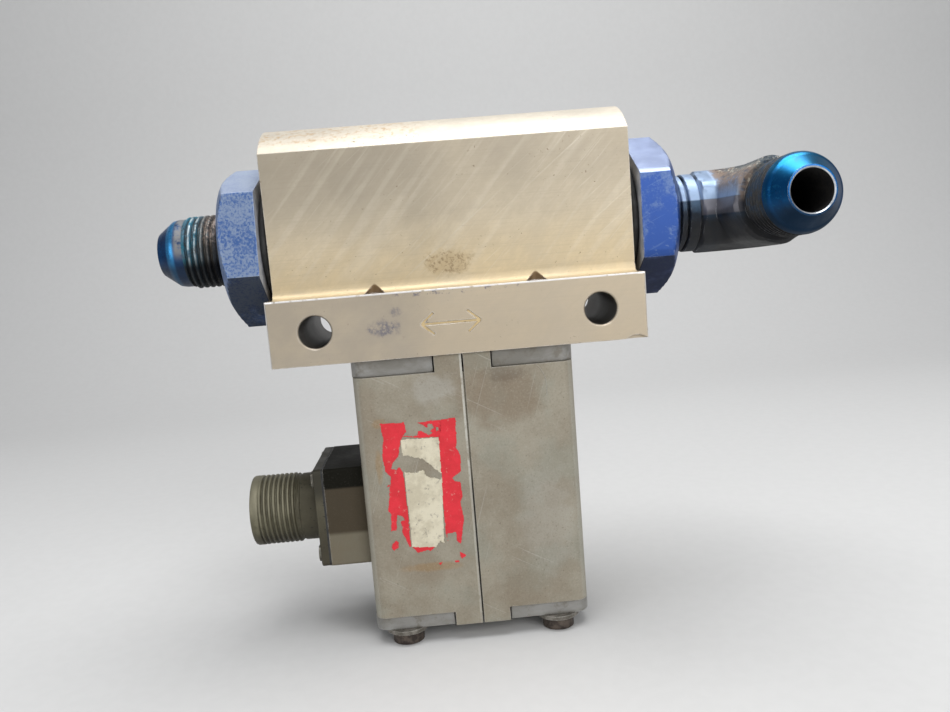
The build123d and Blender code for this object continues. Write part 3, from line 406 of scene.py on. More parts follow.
def inlet_cone_film():
    """Blue cone with a painted highlight band round its base, a grey smudge beside the thread and painted
    shade on its underside.
    """
    s = Shade("inlet_cone_film")
    tone = s.cloud(3, 5, 0.65)
    fine = s.cloud(0.6, 4, 0.7)
    s.base(s.ramp(tone, 0.35, 0.65), (0.006, 0.045, 0.15), (0.012, 0.08, 0.23))
    # Bright band round the cone's base: painted highlight.
    rim = s.times(s.between("x", -73.4, -70.8, 0.7), s.ramp(tone, 0.25, 0.5, 0.6, 1.0))
    s.coat((0.06, 0.33, 0.68), rim, 0.85)
    smudge = s.times(s.beyond("x", -71.6, -70.2), s.patches(2.4, 0.3, 0.52, 5, 0.7, 0.04))
    smudge = s.times(smudge, s.beyond("z", 19, 23))
    s.coat((0.22, 0.215, 0.2), smudge, 0.85)
    # Dark underside: painted shade.
    low = s.beyond("z", 22.5, 17.5)
    s.coat((0.004, 0.01, 0.022), low, 0.85)
    dull = s.most(smudge, s.times(low, 0.6))
    roughness = s.plus(s.spread(fine, 0.24, 0.38), s.times(dull, 0.25))
    metal = s.less(0.9, s.times(dull, 0.6))
    return s.finish(metal, roughness, s.bump(fine, 0.02, 0.25))


def elbow_film():
    """Blackened film with pale gritty deposits, painted highlight in pale blue on its upper faces, painted
    light on the face just below them and painted shade underneath.
    """
    s = Shade("elbow_film")
    broad = s.cloud(6, 6, 0.65, 0.02)
    fine = s.cloud(0.5, 4, 0.7)
    s.base(s.ramp(broad, 0.4, 0.62), (0.018, 0.026, 0.04), (0.045, 0.08, 0.13))
    # Pale blue on upward faces and the top ledge: painted highlight.
    ledge = s.times(s.beyond("z", 24.8, 25.3), s.beyond("y", -24.0, -26.0))
    top = s.most(s.upward(0.45, 0.8), ledge)
    near = s.beyond("x", 72.2, 70.2)
    s.coat((0.3, 0.4, 0.56), top, near, s.patches(3, 0.15, 0.5, 5, 0.7, 0.05), 0.9)
    # Grey-violet face below the top: painted light.
    painted_lit_facet = s.times(s.between("z", 20.8, 25.4, 0.5), s.beyond("x", 65.3, 65.5), near)
    painted_lit_facet = s.times(painted_lit_facet, s.beyond("y", -27.0, -28.0), s.less(1.0, top))
    s.coat((0.19, 0.185, 0.205), painted_lit_facet, 0.85)
    s.coat((0.012, 0.014, 0.017), s.beyond("x", 70.0, 72.5), s.beyond("z", 25.0, 23.5), 0.85)
    rust = s.times(s.between("x", 69.6, 76.5, 1.2), s.patches(2.2, 0.32, 0.56, 5, 0.7, 0.03))
    rust = s.times(rust, s.beyond("z", 23.0, 25.0))
    s.coat((0.235, 0.17, 0.125), rust, 0.85)
    crust = s.times(s.beyond("x", 72.8, 74.8), s.patches(0.9, 0.36, 0.56, 5, 0.75, 0.06))
    crust = s.times(crust, s.beyond("z", 22.0, 24.5))
    s.coat((0.135, 0.15, 0.15), crust, 0.85)
    grit = s.times(s.patches(0.8, 0.54, 0.62, 3, 0.7, 0.01), s.patches(3.5, 0.42, 0.56, 3, shift=0.08))
    grit = s.times(grit, s.beyond("x", 71.5, 73.0), s.beyond("z", 20, 22.5))
    s.coat((0.5, 0.46, 0.38), grit)
    # Darker below: painted shade.
    low = s.beyond("z", 23, 18.5)
    s.coat((0.013, 0.013, 0.014), low, 0.9)
    s.coat((0.55, 0.57, 0.6), s.rubbed(0.35, 1.8, 0.42, 0.62, 0.04), 0.6)
    rough = s.most(grit, rust, crust)
    dull = s.most(rough, s.times(low, 0.8))
    roughness = s.plus(s.spread(broad, 0.34, 0.55), s.times(dull, 0.35))
    height = s.plus(s.times(fine, 0.5), s.times(rough, 2.5))
    metal = s.less(0.65, s.times(dull, 0.55))
    return s.finish(metal, roughness, s.bump(height, 0.06, 0.3))


def inlet_thread_wear(s):
    """Bare crests, brown grime towards the hexagon and pale grains on top of it."""
    crest = s.ramp(s.away("y", "z", (PORT_Y, PORT_Z)), 9.2 * MM, 9.42 * MM)
    s.coat((0.52, 0.6, 0.62), crest, s.patches(2.0, 0.36, 0.52, shift=0.09), 0.75)
    near = s.times(s.beyond("x", -66.5, -62.5), s.patches(2.5, 0.2, 0.5, shift=0.03, floor=0.6))
    s.coat((0.07, 0.048, 0.03), near, 0.85)
    grains = s.times(s.beyond("x", -64.5, -62.0), s.patches(0.8, 0.44, 0.56, 4, 0.7, 0.02))
    s.coat((0.36, 0.29, 0.25), grains, s.beyond("z", 22.5, 26.0), 0.8)


def grimy_shaded_thread(name, base, dark, tint, wear=None):
    """Thread with painted shade in its roots, crust in patches and painted shade below; wear adds marks of
    its own.
    """
    s = Shade(name)
    fine = s.cloud(0.7, 5, 0.7)
    s.base(s.patches(3, 0.42, 0.62, shift=0.02), base, tint)
    # Darker roots: painted shade.
    s.coat(dark, s.painted_crevice_shade(0.7, 0.12, 0.5))
    if wear:
        wear(s)
    # Crust in patches, joined by near black below as painted shade.
    low = s.beyond("z", 22.5, 18.0)
    crust = s.patches(1.8, 0.5, 0.64, 5, 0.7, 0.05)
    crust = s.most(s.times(crust, 0.8), s.times(low, 0.96))
    s.coat(s.mix(low, dark, (0.006, 0.006, 0.007)), crust)
    metal = s.times(s.less(1.0, crust), 0.6)
    specular = s.less(0.5, s.times(low, 0.35))
    return s.finish(metal, s.spread(fine, 0.42, 0.75), s.bump(fine, 0.06), specular)


# Actuator housing

def cast_stains(s):
    """Green tinge, brown and pale patches, specks and scratches of the housing's front."""
    s.coat((0.275, 0.285, 0.235), s.patches(12, 0.45, 0.65, shift=0.05), 0.4)
    brown = s.spot(8, -20, 15, 9, 1.2, 5.0)
    for strength, place in ((0.5, (-16, -64, 9, 7, 1.2, 5.0)), (0.4, (12, -72, 13, 6, 1.2, 5.0)),
                            (0.45, (-25, -30, 3.5, 22, 1.0, 4.0))):
        brown = s.most(brown, s.times(s.spot(*place), strength))
    s.coat((0.22, 0.165, 0.11), brown, 0.55)
    s.coat((0.14, 0.105, 0.075), s.spot(10.5, -14.5, 5.5, 3.2, 1.3, 2.0), 0.5)
    pale = s.times(s.spot(-8, -17, 7, 5, 1.0, 3.0), 0.6)
    pale = s.most(pale, s.times(s.spot(19, -52, 9, 19, 1.2, 6.0), 0.35))
    s.coat((0.44, 0.43, 0.39), pale, 0.7)
    speck = s.times(s.patches(0.8, 0.62, 0.7, 3, 0.7, 0.03), s.patches(8, 0.38, 0.6, 3, shift=0.02))
    s.coat((0.15, 0.11, 0.07), speck, 0.5)
    lines = s.scratches(0.5, (0, 72, 0), 0.67, 0.74, 0.03, 60.0)
    lines = s.most(lines, s.scratches(0.5, (0, -30, 0), 0.68, 0.74, 0.06, 60.0))
    s.coat((0.48, 0.46, 0.41), lines, 0.3)
    return s.most(brown, speck), lines


def cast_places(s, tone):
    """Glue left round the label, painted highlight on the sides and along the join of the halves, and the
    connector boss darker with stain and painted shade, with painted shadow over its upper part.
    """
    residue = s.most(s.spot(-12.5, -63.5, 9.5, 1.6, 0.9, 3.0), s.spot(-23.3, -36, 1.1, 5.0, 0.9, 3.0))
    residue = s.most(residue, s.times(s.spot(-22.3, -24.5, 2.2, 1.6, 1.0, 2.0), 0.9))
    s.coat((0.32, 0.195, 0.075), residue, 0.45)
    outer, inner = HOUSING_SIDE + 0.1, HOUSING_SIDE - 1.8
    # Paler sides: painted highlight on the rounded vertical corners.
    painted_flank_highlight = s.plus(s.between("x", -outer, -inner, 0.6), s.between("x", inner, outer, 0.6))
    s.coat((0.45, 0.44, 0.38), painted_flank_highlight, 0.35)
    # Paler along the join, more so higher up: painted highlight on its edges.
    painted_seam_highlight = s.times(s.between("x", -0.85, 0.0, 0.15), s.ramp(s.axes["z"], -46 * MM, -34 * MM, 0.35, 0.8))
    s.coat((0.56, 0.55, 0.49), painted_seam_highlight, s.patches(3, 0.3, 0.5, shift=0.08))
    boss = s.times(s.beyond("x", -HOUSING_SIDE - 0.1, -HOUSING_SIDE - 0.5), s.ramp(tone, 0.1, 0.5, 0.85, 1.0))
    # Darker boss: partly stain, partly painted shade.
    s.coat((0.12, 0.104, 0.072), boss, 0.75)
    # Darker still higher up and near black at the top: painted shadow of the valve body above.
    s.coat((0.045, 0.034, 0.022), boss, s.beyond("z", -55.0, -53.6), 0.85)
    s.coat((0.008, 0.008, 0.006), boss, s.beyond("z", -42.4, -41.6), 0.97)
    return boss


def cast_film():
    """Sand-cast aluminium under an old olive-grey film."""
    s = Shade("cast_film")
    tone = s.cloud(19, 6, 0.65)
    s.base(s.ramp(tone, 0.36, 0.64), (0.262, 0.226, 0.168), (0.335, 0.305, 0.24))
    soiled, lines = cast_stains(s)
    boss = cast_places(s, tone)
    s.coat((0.56, 0.55, 0.52), s.rubbed(0.5, 2.2, 0.3, 0.55), 0.55)
    # Darker in corners and gaps: painted shade.
    s.coat((0.1, 0.085, 0.06), s.painted_crevice_shade(1.4), 0.7)
    grain = s.cloud(0.45, 4, 0.7)
    plain = s.less(1.0, s.times(boss, 0.9))
    s.coat((0.44, 0.42, 0.36), s.ramp(grain, 0.52, 0.75, 0.0, 0.35), plain)
    s.coat((0.13, 0.11, 0.08), s.ramp(grain, 0.25, 0.48, 0.35, 0.0), plain)
    rough = s.plus(s.spread(tone, 0.5, 0.62), s.times(soiled, 0.12))
    specular = s.less(0.5, s.times(boss, 0.46))
    height = s.less(s.times(grain, 0.6), s.times(lines, 0.5))
    metal = s.less(0.35, s.times(boss, 0.25))
    return s.finish(metal, rough, s.bump(height, 0.04, 0.35), specular)


def seam_paper():
    """Gasket between the halves: bare above, darker towards the bottom."""
    s = Shade("seam_paper")
    grain = s.cloud(0.5, 4, 0.7)
    s.base(s.ramp(grain, 0.35, 0.65), (0.2, 0.18, 0.13), (0.32, 0.29, 0.22))
    height = s.plus(s.axes["z"], s.times(s.cloud(9), 12 * MM))
    s.coat((0.012, 0.011, 0.009), s.ramp(height, -40 * MM, -26 * MM, 0.95, 0.1))
    return s.finish(0.0, s.spread(grain, 0.6, 0.8), s.bump(grain, 0.03))


def plate_film():
    """Stained aluminium of the two end plates."""
    s = Shade("plate_film")
    tone = s.cloud(9, 6, 0.65, stretch=(0.4, 1, 1))
    s.base(s.ramp(tone, 0.36, 0.64), (0.215, 0.205, 0.18), (0.33, 0.325, 0.31))
    s.coat((0.15, 0.125, 0.09), s.patches(3.5, 0.52, 0.68, 5, 0.7, 0.05), 0.5)
    s.coat((0.6, 0.6, 0.58), s.rubbed(0.45, 2.0, 0.32, 0.55), 0.75)
    # Darker in corners and gaps: painted shade.
    s.coat((0.07, 0.06, 0.045), s.painted_crevice_shade(1.2), 0.75)
    return s.finish(0.45, s.spread(tone, 0.42, 0.58), s.bump(s.cloud(0.4, 4, 0.7), 0.03, 0.35))


def olive_shell():
    """Olive plating of the connector, with paler upper crests that are partly wear and partly painted
    highlight, painted shade in corners and below, and darker towards its root.
    """
    s = Shade("olive_shell")
    tone = s.cloud(5, 6, 0.65)
    s.base(s.ramp(tone, 0.38, 0.62), (0.105, 0.096, 0.06), (0.175, 0.163, 0.108))
    worn = s.times(s.edges(0.3, 0.01, 0.2), s.patches(1.6, 0.3, 0.55, shift=0.06))
    s.coat((0.3, 0.29, 0.21), worn, 0.4)
    # Darker in corners: painted shade.
    s.coat((0.05, 0.044, 0.03), s.painted_crevice_shade(0.6, 0.1, 0.5), 0.75)
    # Paler crests on the upper side only: partly wear, partly painted highlight.
    crest = s.ramp(s.away("y", "z", (PORT_Y, CONNECTOR_Z)), 9.25 * MM, 9.45 * MM)
    s.coat((0.3, 0.28, 0.2), crest, s.beyond("z", CONNECTOR_Z - 2, CONNECTOR_Z + 4), 0.5)
    # Darker below the axis: painted shade.
    s.coat((0.04, 0.035, 0.026), s.beyond("z", CONNECTOR_Z - 1.5, CONNECTOR_Z - 7), 0.7)
    dark = s.beyond("x", -50, -46)
    s.coat((0.05, 0.043, 0.026), dark, 0.75)
    high = s.beyond("z", CONNECTOR_Z + 3, CONNECTOR_Z + 8)
    s.coat((0.018, 0.017, 0.012), high, s.beyond("x", -42.5, -41.8), 0.7)
    s.coat((0.02, 0.02, 0.015), s.patches(1.0, 0.6, 0.68, 4, 0.7, 0.04), dark)
    return s.finish(0.45, s.spread(tone, 0.45, 0.62), s.bump(s.cloud(0.4, 4, 0.7), 0.03, 0.1))


# Plain materials

def plain_metal(name, light, dark, metallic, rough, size=3.0, stretch=(1, 1, 1),
                wear=(0.75, 0.74, 0.7), painted_corner_shade=(0.05, 0.04, 0.03), painted_corner_shade_amount=0.5):
    """Metal with cloudy tone, fine machining marks, rubbed edges and painted shade in its corners."""
    s = Shade(name)
    tone = s.cloud(size, 5, 0.6)
    marks = s.cloud(0.3, 3, 0.6, stretch=stretch)
    s.base(s.ramp(tone, 0.36, 0.64), dark, light)
    s.coat(dark, s.ramp(marks, 0.45, 0.75), 0.2)
    s.coat(wear, s.edges(0.2), 0.6)
    # Darker in corners: painted shade.
    s.coat(painted_corner_shade, s.painted_crevice_shade(0.9), painted_corner_shade_amount)
    return s.finish(metallic, s.spread(tone, *rough), s.bump(marks, 0.012, 0.12))


def plain_soft(name, light, dark, rough, size=2.0, depth=0.02):
    """Rubber, plastic and the bore's painted shade, each with a cloudy tone and a fine grain."""
    s = Shade(name)
    grain = s.cloud(0.25, 4, 0.7)
    s.base(s.patches(size, 0.36, 0.64, 5, 0.6), dark, light)
    s.coat(light, s.edges(0.15), 0.3)
    return s.finish(0.0, s.spread(grain, *rough), s.bump(grain, depth, 0.1))


def label_paper(name, light, dark, smudge, wear):
    """Old paper, scuffed and stained."""
    s = Shade(name)
    s.base(s.patches(5, 0.38, 0.62, 6, 0.7), dark, light)
    scuff = s.patches(1.6, 0.62 - 0.15 * wear, 0.72 - 0.15 * wear, 5, 0.75, 0.03)
    s.coat(smudge, scuff, 0.75)
    fibre = s.cloud(0.35, 4, 0.7)
    return s.finish(0.0, s.spread(fibre, 0.5, 0.75), s.bump(s.plus(fibre, scuff), 0.02), 0.3)


# Materials of the pieces made below

ALONG_Z = (1, 1, 0.05)
shades = {
    "hexagon": blue("inlet_hexagon_film", (0.06, 0.135, 0.36), (0.235, 0.305, 0.44), 0.7,
                    (0.05, 0.06, 0.09), 0.1, 0.55, (0.34, 0.5), 0.35),
    # Pale grey inner face of both hexagons: painted light on a face that lies in shade.
    "painted_lit_hexagon_back": plain_metal("painted_lit_hexagon_back", (0.56, 0.57, 0.6), (0.4, 0.42, 0.46), 0.2, (0.5, 0.65),
                                painted_corner_shade_amount=0.1),
    "right_hexagon": blue("outlet_hexagon_film", (0.025, 0.075, 0.29), (0.125, 0.19, 0.35), 0.45,
                          (0.04, 0.05, 0.08), 0.12, 0.6, (0.3, 0.46)),
    "cone": inlet_cone_film(),
    "right_cone": blue("outlet_cone_film", (0.004, 0.07, 0.21), (0.015, 0.15, 0.33), 0.25,
                       (0.008, 0.02, 0.04), 0.22, 0.95, (0.24, 0.36), painted_sky_sheen=(0.02, 0.26, 0.46),
                       shadow=(24.5, 18.5)),
    "elbow": elbow_film(),
    "thread": grimy_shaded_thread("fitting_thread", (0.1, 0.2, 0.27), GRIME_AND_SHADE_BLACK, (0.035, 0.21, 0.3),
                           inlet_thread_wear),
    "elbow_thread": grimy_shaded_thread("elbow_thread", (0.05, 0.05, 0.05), (0.018, 0.016, 0.014),
                                 (0.03, 0.05, 0.08)),
    # Near black bore: painted shade inside the fittings.
    "bore": plain_soft("painted_shade_bore", GRIME_AND_SHADE_BLACK, (0.008, 0.008, 0.009), (0.55, 0.8), 1.5, 0.05),
    "bore_rim": plain_metal("bore_rim", (0.7, 0.72, 0.74), (0.35, 0.38, 0.42), 0.8, (0.3, 0.45), 2.0),
    "cast": cast_film(),
    "olive": olive_shell(),
    "label_red": label_paper("label_red", (0.7, 0.03, 0.045), (0.6, 0.026, 0.036),
                             (0.62, 0.28, 0.24), 0.2),
    "label_cream": label_paper("label_cream", (0.66, 0.61, 0.47), (0.52, 0.47, 0.35),
                               (0.3, 0.27, 0.22), 0.45),
}


# Materials of the solids that stay as they are

def dress(material, *names):
    """Material on every slot of the solids named."""
    for name in names:
        slots = nodes[name].data.materials
        for index in range(len(slots)):
            slots[index] = material


dress(body_film(), "valve_body")
dress(shades["cast"], "housing_left", "housing_right")
dress(plate_film(), "top_plate", "bottom_plate")
dress(seam_paper(), "housing_gasket")
dress(plain_metal("screw_steel", (0.15, 0.12, 0.1), (0.05, 0.04, 0.035), 0.7, (0.38, 0.6), 2.0,
                  painted_corner_shade_amount=0.8), "tie_screws")
dress(plain_metal("washer_steel", (0.27, 0.25, 0.22), (0.12, 0.11, 0.09), 0.7, (0.38, 0.55), 2.0,
                  painted_corner_shade_amount=0.8), "tie_washers")
dress(plain_metal("connector_screw_steel", (0.26, 0.25, 0.21), (0.12, 0.11, 0.09), 0.8, (0.28, 0.45), 1.5,
                  painted_corner_shade_amount=0.7), "connector_screws")
dress(plain_metal("stainless_steel", (0.62, 0.62, 0.61), (0.44, 0.44, 0.43), 1.0, (0.18, 0.32), 4.0,
                  ALONG_Z, painted_corner_shade_amount=0.2),
      "ball", "stem", "output_shaft", "second_gear_arbor", "first_gear_arbor", "motor_shaft",
      "inlet_seat_spring", "outlet_seat_spring")
dress(plain_metal("gear_steel", (0.46, 0.45, 0.42), (0.28, 0.27, 0.25), 0.95, (0.26, 0.42),
                  stretch=(1, 1, 0.1), painted_corner_shade=(0.07, 0.05, 0.02)),
      "output_gear", "output_cam", "second_gear_cluster", "first_gear_cluster", "motor_pinion")
dress(plain_metal("gear_plate_aluminium", (0.66, 0.66, 0.64), (0.5, 0.5, 0.48), 0.9, (0.32, 0.46), 5.0,
                  (0.03, 1, 1)), "upper_gear_plate", "lower_gear_plate", "gear_plate_posts")
dress(plain_metal("bearing_bronze", (0.55, 0.36, 0.16), (0.36, 0.22, 0.09), 0.95, (0.28, 0.42),
                  stretch=ALONG_Z, wear=(0.75, 0.56, 0.3)),
      "stem_gland", "upper_output_bush", "lower_output_bush", "motor_bearings")
dress(plain_metal("motor_steel", (0.5, 0.5, 0.48), (0.36, 0.36, 0.34), 0.9, (0.3, 0.45), 6.0, ALONG_Z),
      "motor_case", "motor_end_bell")
dress(plain_metal("armature_iron", (0.22, 0.12, 0.07), (0.1, 0.06, 0.04), 0.5, (0.4, 0.6),
                  stretch=(1, 1, 14), wear=(0.4, 0.3, 0.22)), "motor_armature")
dress(plain_metal("contact_gold", (0.83, 0.6, 0.24), (0.6, 0.4, 0.14), 1.0, (0.22, 0.36), 2.0),
      "connector_pins")
dress(plain_soft("seal_rubber", (0.03, 0.03, 0.03), (0.014, 0.014, 0.014), (0.55, 0.75)),
      "inlet_port_seal", "outlet_port_seal", "stem_seals", "connector_gasket")
dress(plain_soft("seat_plastic", (0.84, 0.83, 0.79), (0.72, 0.71, 0.66), (0.35, 0.5)),
      "inlet_seat", "outlet_seat")
dress(plain_soft("insert_plastic", (0.03, 0.034, 0.03), (0.016, 0.018, 0.016), (0.4, 0.6)),
      "connector_insert")
dress(plain_soft("switch_plastic", (0.075, 0.04, 0.024), (0.04, 0.022, 0.014), (0.35, 0.5)),
      "closed_limit_switch", "open_limit_switch")
dress(plain_soft("button_plastic", (0.48, 0.04, 0.025), (0.36, 0.025, 0.018), (0.35, 0.5)),
      "closed_switch_button", "open_switch_button")


# Meshes made of rings

RING = 144
ANGLES = [360.0 * k / RING for k in range(RING)]


def linked(name, data):
    """Object in the scene for a mesh, curve, light or camera."""
    piece = bpy.data.objects.new(name, data)
    bpy.context.scene.collection.objects.link(piece)
    return piece


def built(name, points, faces, *materials):
    """Object in the scene made of points in millimetres, faces and materials."""
    mesh = bpy.data.meshes.new(name)
    mesh.from_pydata([tuple(c * MM for c in point) for point in points], [], faces)
    for material in materials:
        mesh.materials.append(material)
    return linked(name, mesh)


def smooth(piece, angle):
    """Smooth shading with sharp edges over an angle in degrees."""
    mesh = piece.data
    mesh.polygons.foreach_set("use_smooth", [True] * len(mesh.polygons))
    mesh.set_sharp_from_angle(angle=math.radians(angle))


def outward(piece):
    """Faces turned outward."""
    made = bmesh.new()
    made.from_mesh(piece.data)
    bmesh.ops.recalc_face_normals(made, faces=made.faces)
    made.to_mesh(piece.data)
    made.free()


def loft(name, rings, materials, bands):
    """Closed mesh through rings of points; bands gives the material index from each ring to the next."""
    count = len(rings[0])
    faces = []
    indices = []
    for number, band in enumerate(bands):
        here = number * count
        there = ((number + 1) % len(rings)) * count
        for k in range(count):
            after = (k + 1) % count
            faces.append((here + k, here + after, there + after, there + k))
            indices.append(band)
    points = [point for ring in rings for point in ring]
    piece = built(name, points, faces, *(shades[key] for key in materials))
    for polygon, index in zip(piece.data.polygons, indices):
        polygon.material_index = index
    piece.data.validate()
    smooth(piece, 32)
    outward(piece)
    return piece


def turned(angle, radius):
    """Two offsets of a point at an angle in degrees; the radius is a number or a function of the angle."""
    turn = math.radians(angle)
    if callable(radius):
        radius = radius(angle)
    return radius * math.cos(turn), radius * math.sin(turn)


def ring_across(x, radius, height, angles):
    """Ring of points about a line along X at the port's depth."""
    ring = []
    for angle in angles:
        across, up = turned(angle, radius)
        ring.append((x, PORT_Y + across, height + up))
    return ring


def polygon_radius(angle, sides, apothem, turn):
    """Radius of a regular polygon at an angle in degrees."""
    step = 360.0 / sides
    off = (angle - turn) % step - step / 2
    return apothem / math.cos(math.radians(off))


def thread_radius(along, angle, root, crest, pitch):
    """Radius of a thread with rounded crests."""
    phase = (along / pitch - angle / 360.0) % 1.0
    rise = 1 - abs(2 * phase - 1)
    return root + (crest - root) * eased(rise, 0.12, 0.8)


def wobble(along, angle, layer):
    """Slow unevenness between -1 and 1 over a thread."""
    return noise.noise(Vector((along, angle * 0.05, layer)))


def steps(start, end, size):
    """Places from start to end, no farther apart than size."""
    count = max(1, math.ceil(abs(end - start) / size))
    return [start + (end - start) * k / count for k in range(count + 1)]


# Flared ends

OUTSIDE, THREAD, CONE, RIM, INSIDE, BACK = range(6)
RELIEF_RADIUS = 8.3
RELIEF_LENGTH = 1.6
CREST = 9.45
ROOT = 8.55
PITCH = 25.4 / 16
THREAD_LENGTH = 13.4
THREAD_LEAD = 2.0
CONE_BASE = 8.3
CONE_NOSE = 5.65
CONE_LENGTH = 3.517
THREAD_STEP = 0.13
LEAD_STEP = 0.32
LEAD_ROUNDING = 1.9
FLARE_LENGTH = RELIEF_LENGTH + THREAD_LENGTH + CONE_LENGTH


def flare_thread(along, limit):
    """Radius function of the thread at a distance from the root, under the limit of its leads."""
    def radius(angle):
        uneven = 0.05 * wobble(along * 0.7, angle, 3.0)
        return min(limit, thread_radius(along, angle, ROOT, CREST, PITCH) + uneven)
    return radius


def flare_profile(lead_length, lead_radius):
    """(distance, radius, band) from root to nose, with a smooth lead before the cone."""
    cone_start = RELIEF_LENGTH + THREAD_LENGTH
    lead_start = cone_start - lead_length
    out = [(0.0, RELIEF_RADIUS, THREAD), (RELIEF_LENGTH, RELIEF_RADIUS, THREAD)]
    for along in steps(RELIEF_LENGTH, lead_start, THREAD_STEP)[1:-1]:
        rising = RELIEF_RADIUS + (along - RELIEF_LENGTH) * (CREST - RELIEF_RADIUS) / THREAD_LEAD
        falling = lead_radius + (lead_start - along) * (CREST - CONE_BASE) / THREAD_LEAD
        out.append((along, flare_thread(along, min(rising, falling)), THREAD))
    for along in steps(lead_start, cone_start, LEAD_STEP)[:-1]:
        rise = min(1.0, math.sqrt((cone_start - along) / min(lead_length, LEAD_ROUNDING)))
        out.append((along, CONE_BASE + (lead_radius - CONE_BASE) * rise, CONE))
    for t in (0.0, 0.06, 0.5, 0.92):
        out.append((cone_start + CONE_LENGTH * t, CONE_BASE + (CONE_NOSE - CONE_BASE) * t, CONE))
    out.append((FLARE_LENGTH - 0.05, CONE_NOSE + 0.04, CONE))
    out.append((FLARE_LENGTH, CONE_NOSE - 0.12, CONE))
    out.append((FLARE_LENGTH, BORE + 0.3, RIM))
    out.append((FLARE_LENGTH - 0.25, BORE, INSIDE))
    return out


# End fittings

INLET_LEAD = (3.6, 8.85)
ELBOW_LEAD = (1.9, 9.4)
SPIGOT_START = 12.2
SPIGOT_STEP = 33.5
TUBE_RADIUS = 10.2
SPIGOT_RADIUS = 14.2
HEX_APOTHEM = 18.25
HEX_FACE = 17.3
HEX_SHOULDER = 9.4
HEX_CHAMFER = 30
INLET_CLOCKING = 20.6
OUTLET_CLOCKING = 29.2
SOCKET_RADIUS = 9.1
SOCKET_DEPTH = 11.0


def end_fitting(side, clocking, tail, back):
    """Spigot and hexagon about the flow line, with corners turned away on the outer side only."""
    def hexagon(angle):
        return polygon_radius(angle, 6, HEX_APOTHEM, clocking)

    def turned_hexagon(limit):
        return lambda angle: min(limit, hexagon(angle))

    profile = [
        (SPIGOT_START, TUBE_RADIUS, OUTSIDE),
        (SPIGOT_STEP, TUBE_RADIUS, OUTSIDE),
        (SPIGOT_STEP, SPIGOT_RADIUS, OUTSIDE),
        (HEX_INNER, SPIGOT_RADIUS, back),
        (HEX_INNER, lambda angle: hexagon(angle) - 0.12, OUTSIDE),
    ]
    slope = math.tan(math.radians(HEX_CHAMFER))
    before_face = (2.6, 2.1, 1.65, 1.2, 0.8, 0.45, 0.2, 0.02, 0)
    for x in [HEX_INNER + 0.12] + [HEX_OUTER - d for d in before_face]:
        profile.append((x, turned_hexagon(HEX_FACE + (HEX_OUTER - x) / slope), OUTSIDE))
    profile += [(HEX_OUTER + d, radius, band) for d, radius, band in tail]
    profile.append((SPIGOT_START, BORE, OUTSIDE))
    rings = [ring_across(side * x, radius, PORT_Z, ANGLES) for x, radius, _ in profile]
    return rings, [band for *_, band in profile]


def inlet_fitting():
    """Fitting with the threaded flare."""
    tail = [(0, HEX_SHOULDER, OUTSIDE)] + flare_profile(*INLET_LEAD)
    rings, bands = end_fitting(-1, INLET_CLOCKING, tail, BACK)
    materials = ["hexagon", "thread", "cone", "bore_rim", "bore", "painted_lit_hexagon_back"]
    piece = loft("inlet_fitting_threaded", rings, materials, bands)
    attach(piece, "valve")
    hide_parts("inlet_fitting")


def outlet_adapter():
    """Fitting with the socket for the elbow's neck."""
    socket, back = 1, 2
    tail = [
        (0, SOCKET_RADIUS + 0.2, socket),
        (-0.2, SOCKET_RADIUS, socket),
        (-SOCKET_DEPTH, SOCKET_RADIUS, socket),
        (-SOCKET_DEPTH, BORE, socket),
    ]
    rings, bands = end_fitting(1, OUTLET_CLOCKING, tail, back)
    piece = loft("outlet_adapter_hexagon", rings, ["right_hexagon", "bore", "painted_lit_hexagon_back"], bands)
    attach(piece, "valve")
    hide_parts("outlet_adapter")


# Elbow, drawn about the corner where its two arms' lines meet

ELBOW_X = 79.8
ELBOW_REACH = 42.2
ELBOW_TILT = 2.9
ELBOW_BEND = 10.6
ELBOW_APOTHEM = 10.4
ELBOW_CORNER = 10.95
ELBOW_FLAT_TURN = 8.0
NECK_RADIUS = 9.0
NECK_END = HEX_OUTER - SOCKET_DEPTH + 0.1 - ELBOW_X
EDGE_WIDTH = 0.25
EDGE_DROP = 0.3
COLLAR_START = HEX_OUTER + 2.9 - ELBOW_X
COLLAR_GAP = 0.5
COLLARS = [(COLLAR_START, COLLAR_START + 1.5, 10.1), (COLLAR_START + 2.0, COLLAR_START + 5.0, 10.35)]
FORGING_START = COLLARS[1][1]
FORGING_FACE = 9.6
FORGING_ROOT = 9.9
FORGING_FULL = 20
FORGING_TAPER = 1.2
FORGING_STEP = 1.5
BEND_STEPS = 15


def on_arm(x, radius, band=OUTSIDE):
    """Station of the arm along the flow line."""
    return (x, 0, 0), (1, 0, 0), radius, band


def on_end(y, radius, band=OUTSIDE):
    """Station of the end that faces the viewer."""
    return (0, -y, 0), (0, -1, 0), radius, band


def on_bend(k, radius, band=OUTSIDE):
    """Station of the bend after k of its steps."""
    turn = math.radians(90 * k / BEND_STEPS)
    at = (-ELBOW_BEND + ELBOW_BEND * math.sin(turn), -ELBOW_BEND + ELBOW_BEND * math.cos(turn), 0)
    return at, (math.cos(turn), -math.sin(turn), 0), radius, band


def forged(limit):
    """Radius function of the octagon with rounded corners, under a limit; FORGING_FULL leaves it whole."""
    def radius(angle):
        return min(limit, ELBOW_CORNER, polygon_radius(angle, 8, ELBOW_APOTHEM, ELBOW_FLAT_TURN))
    return radius


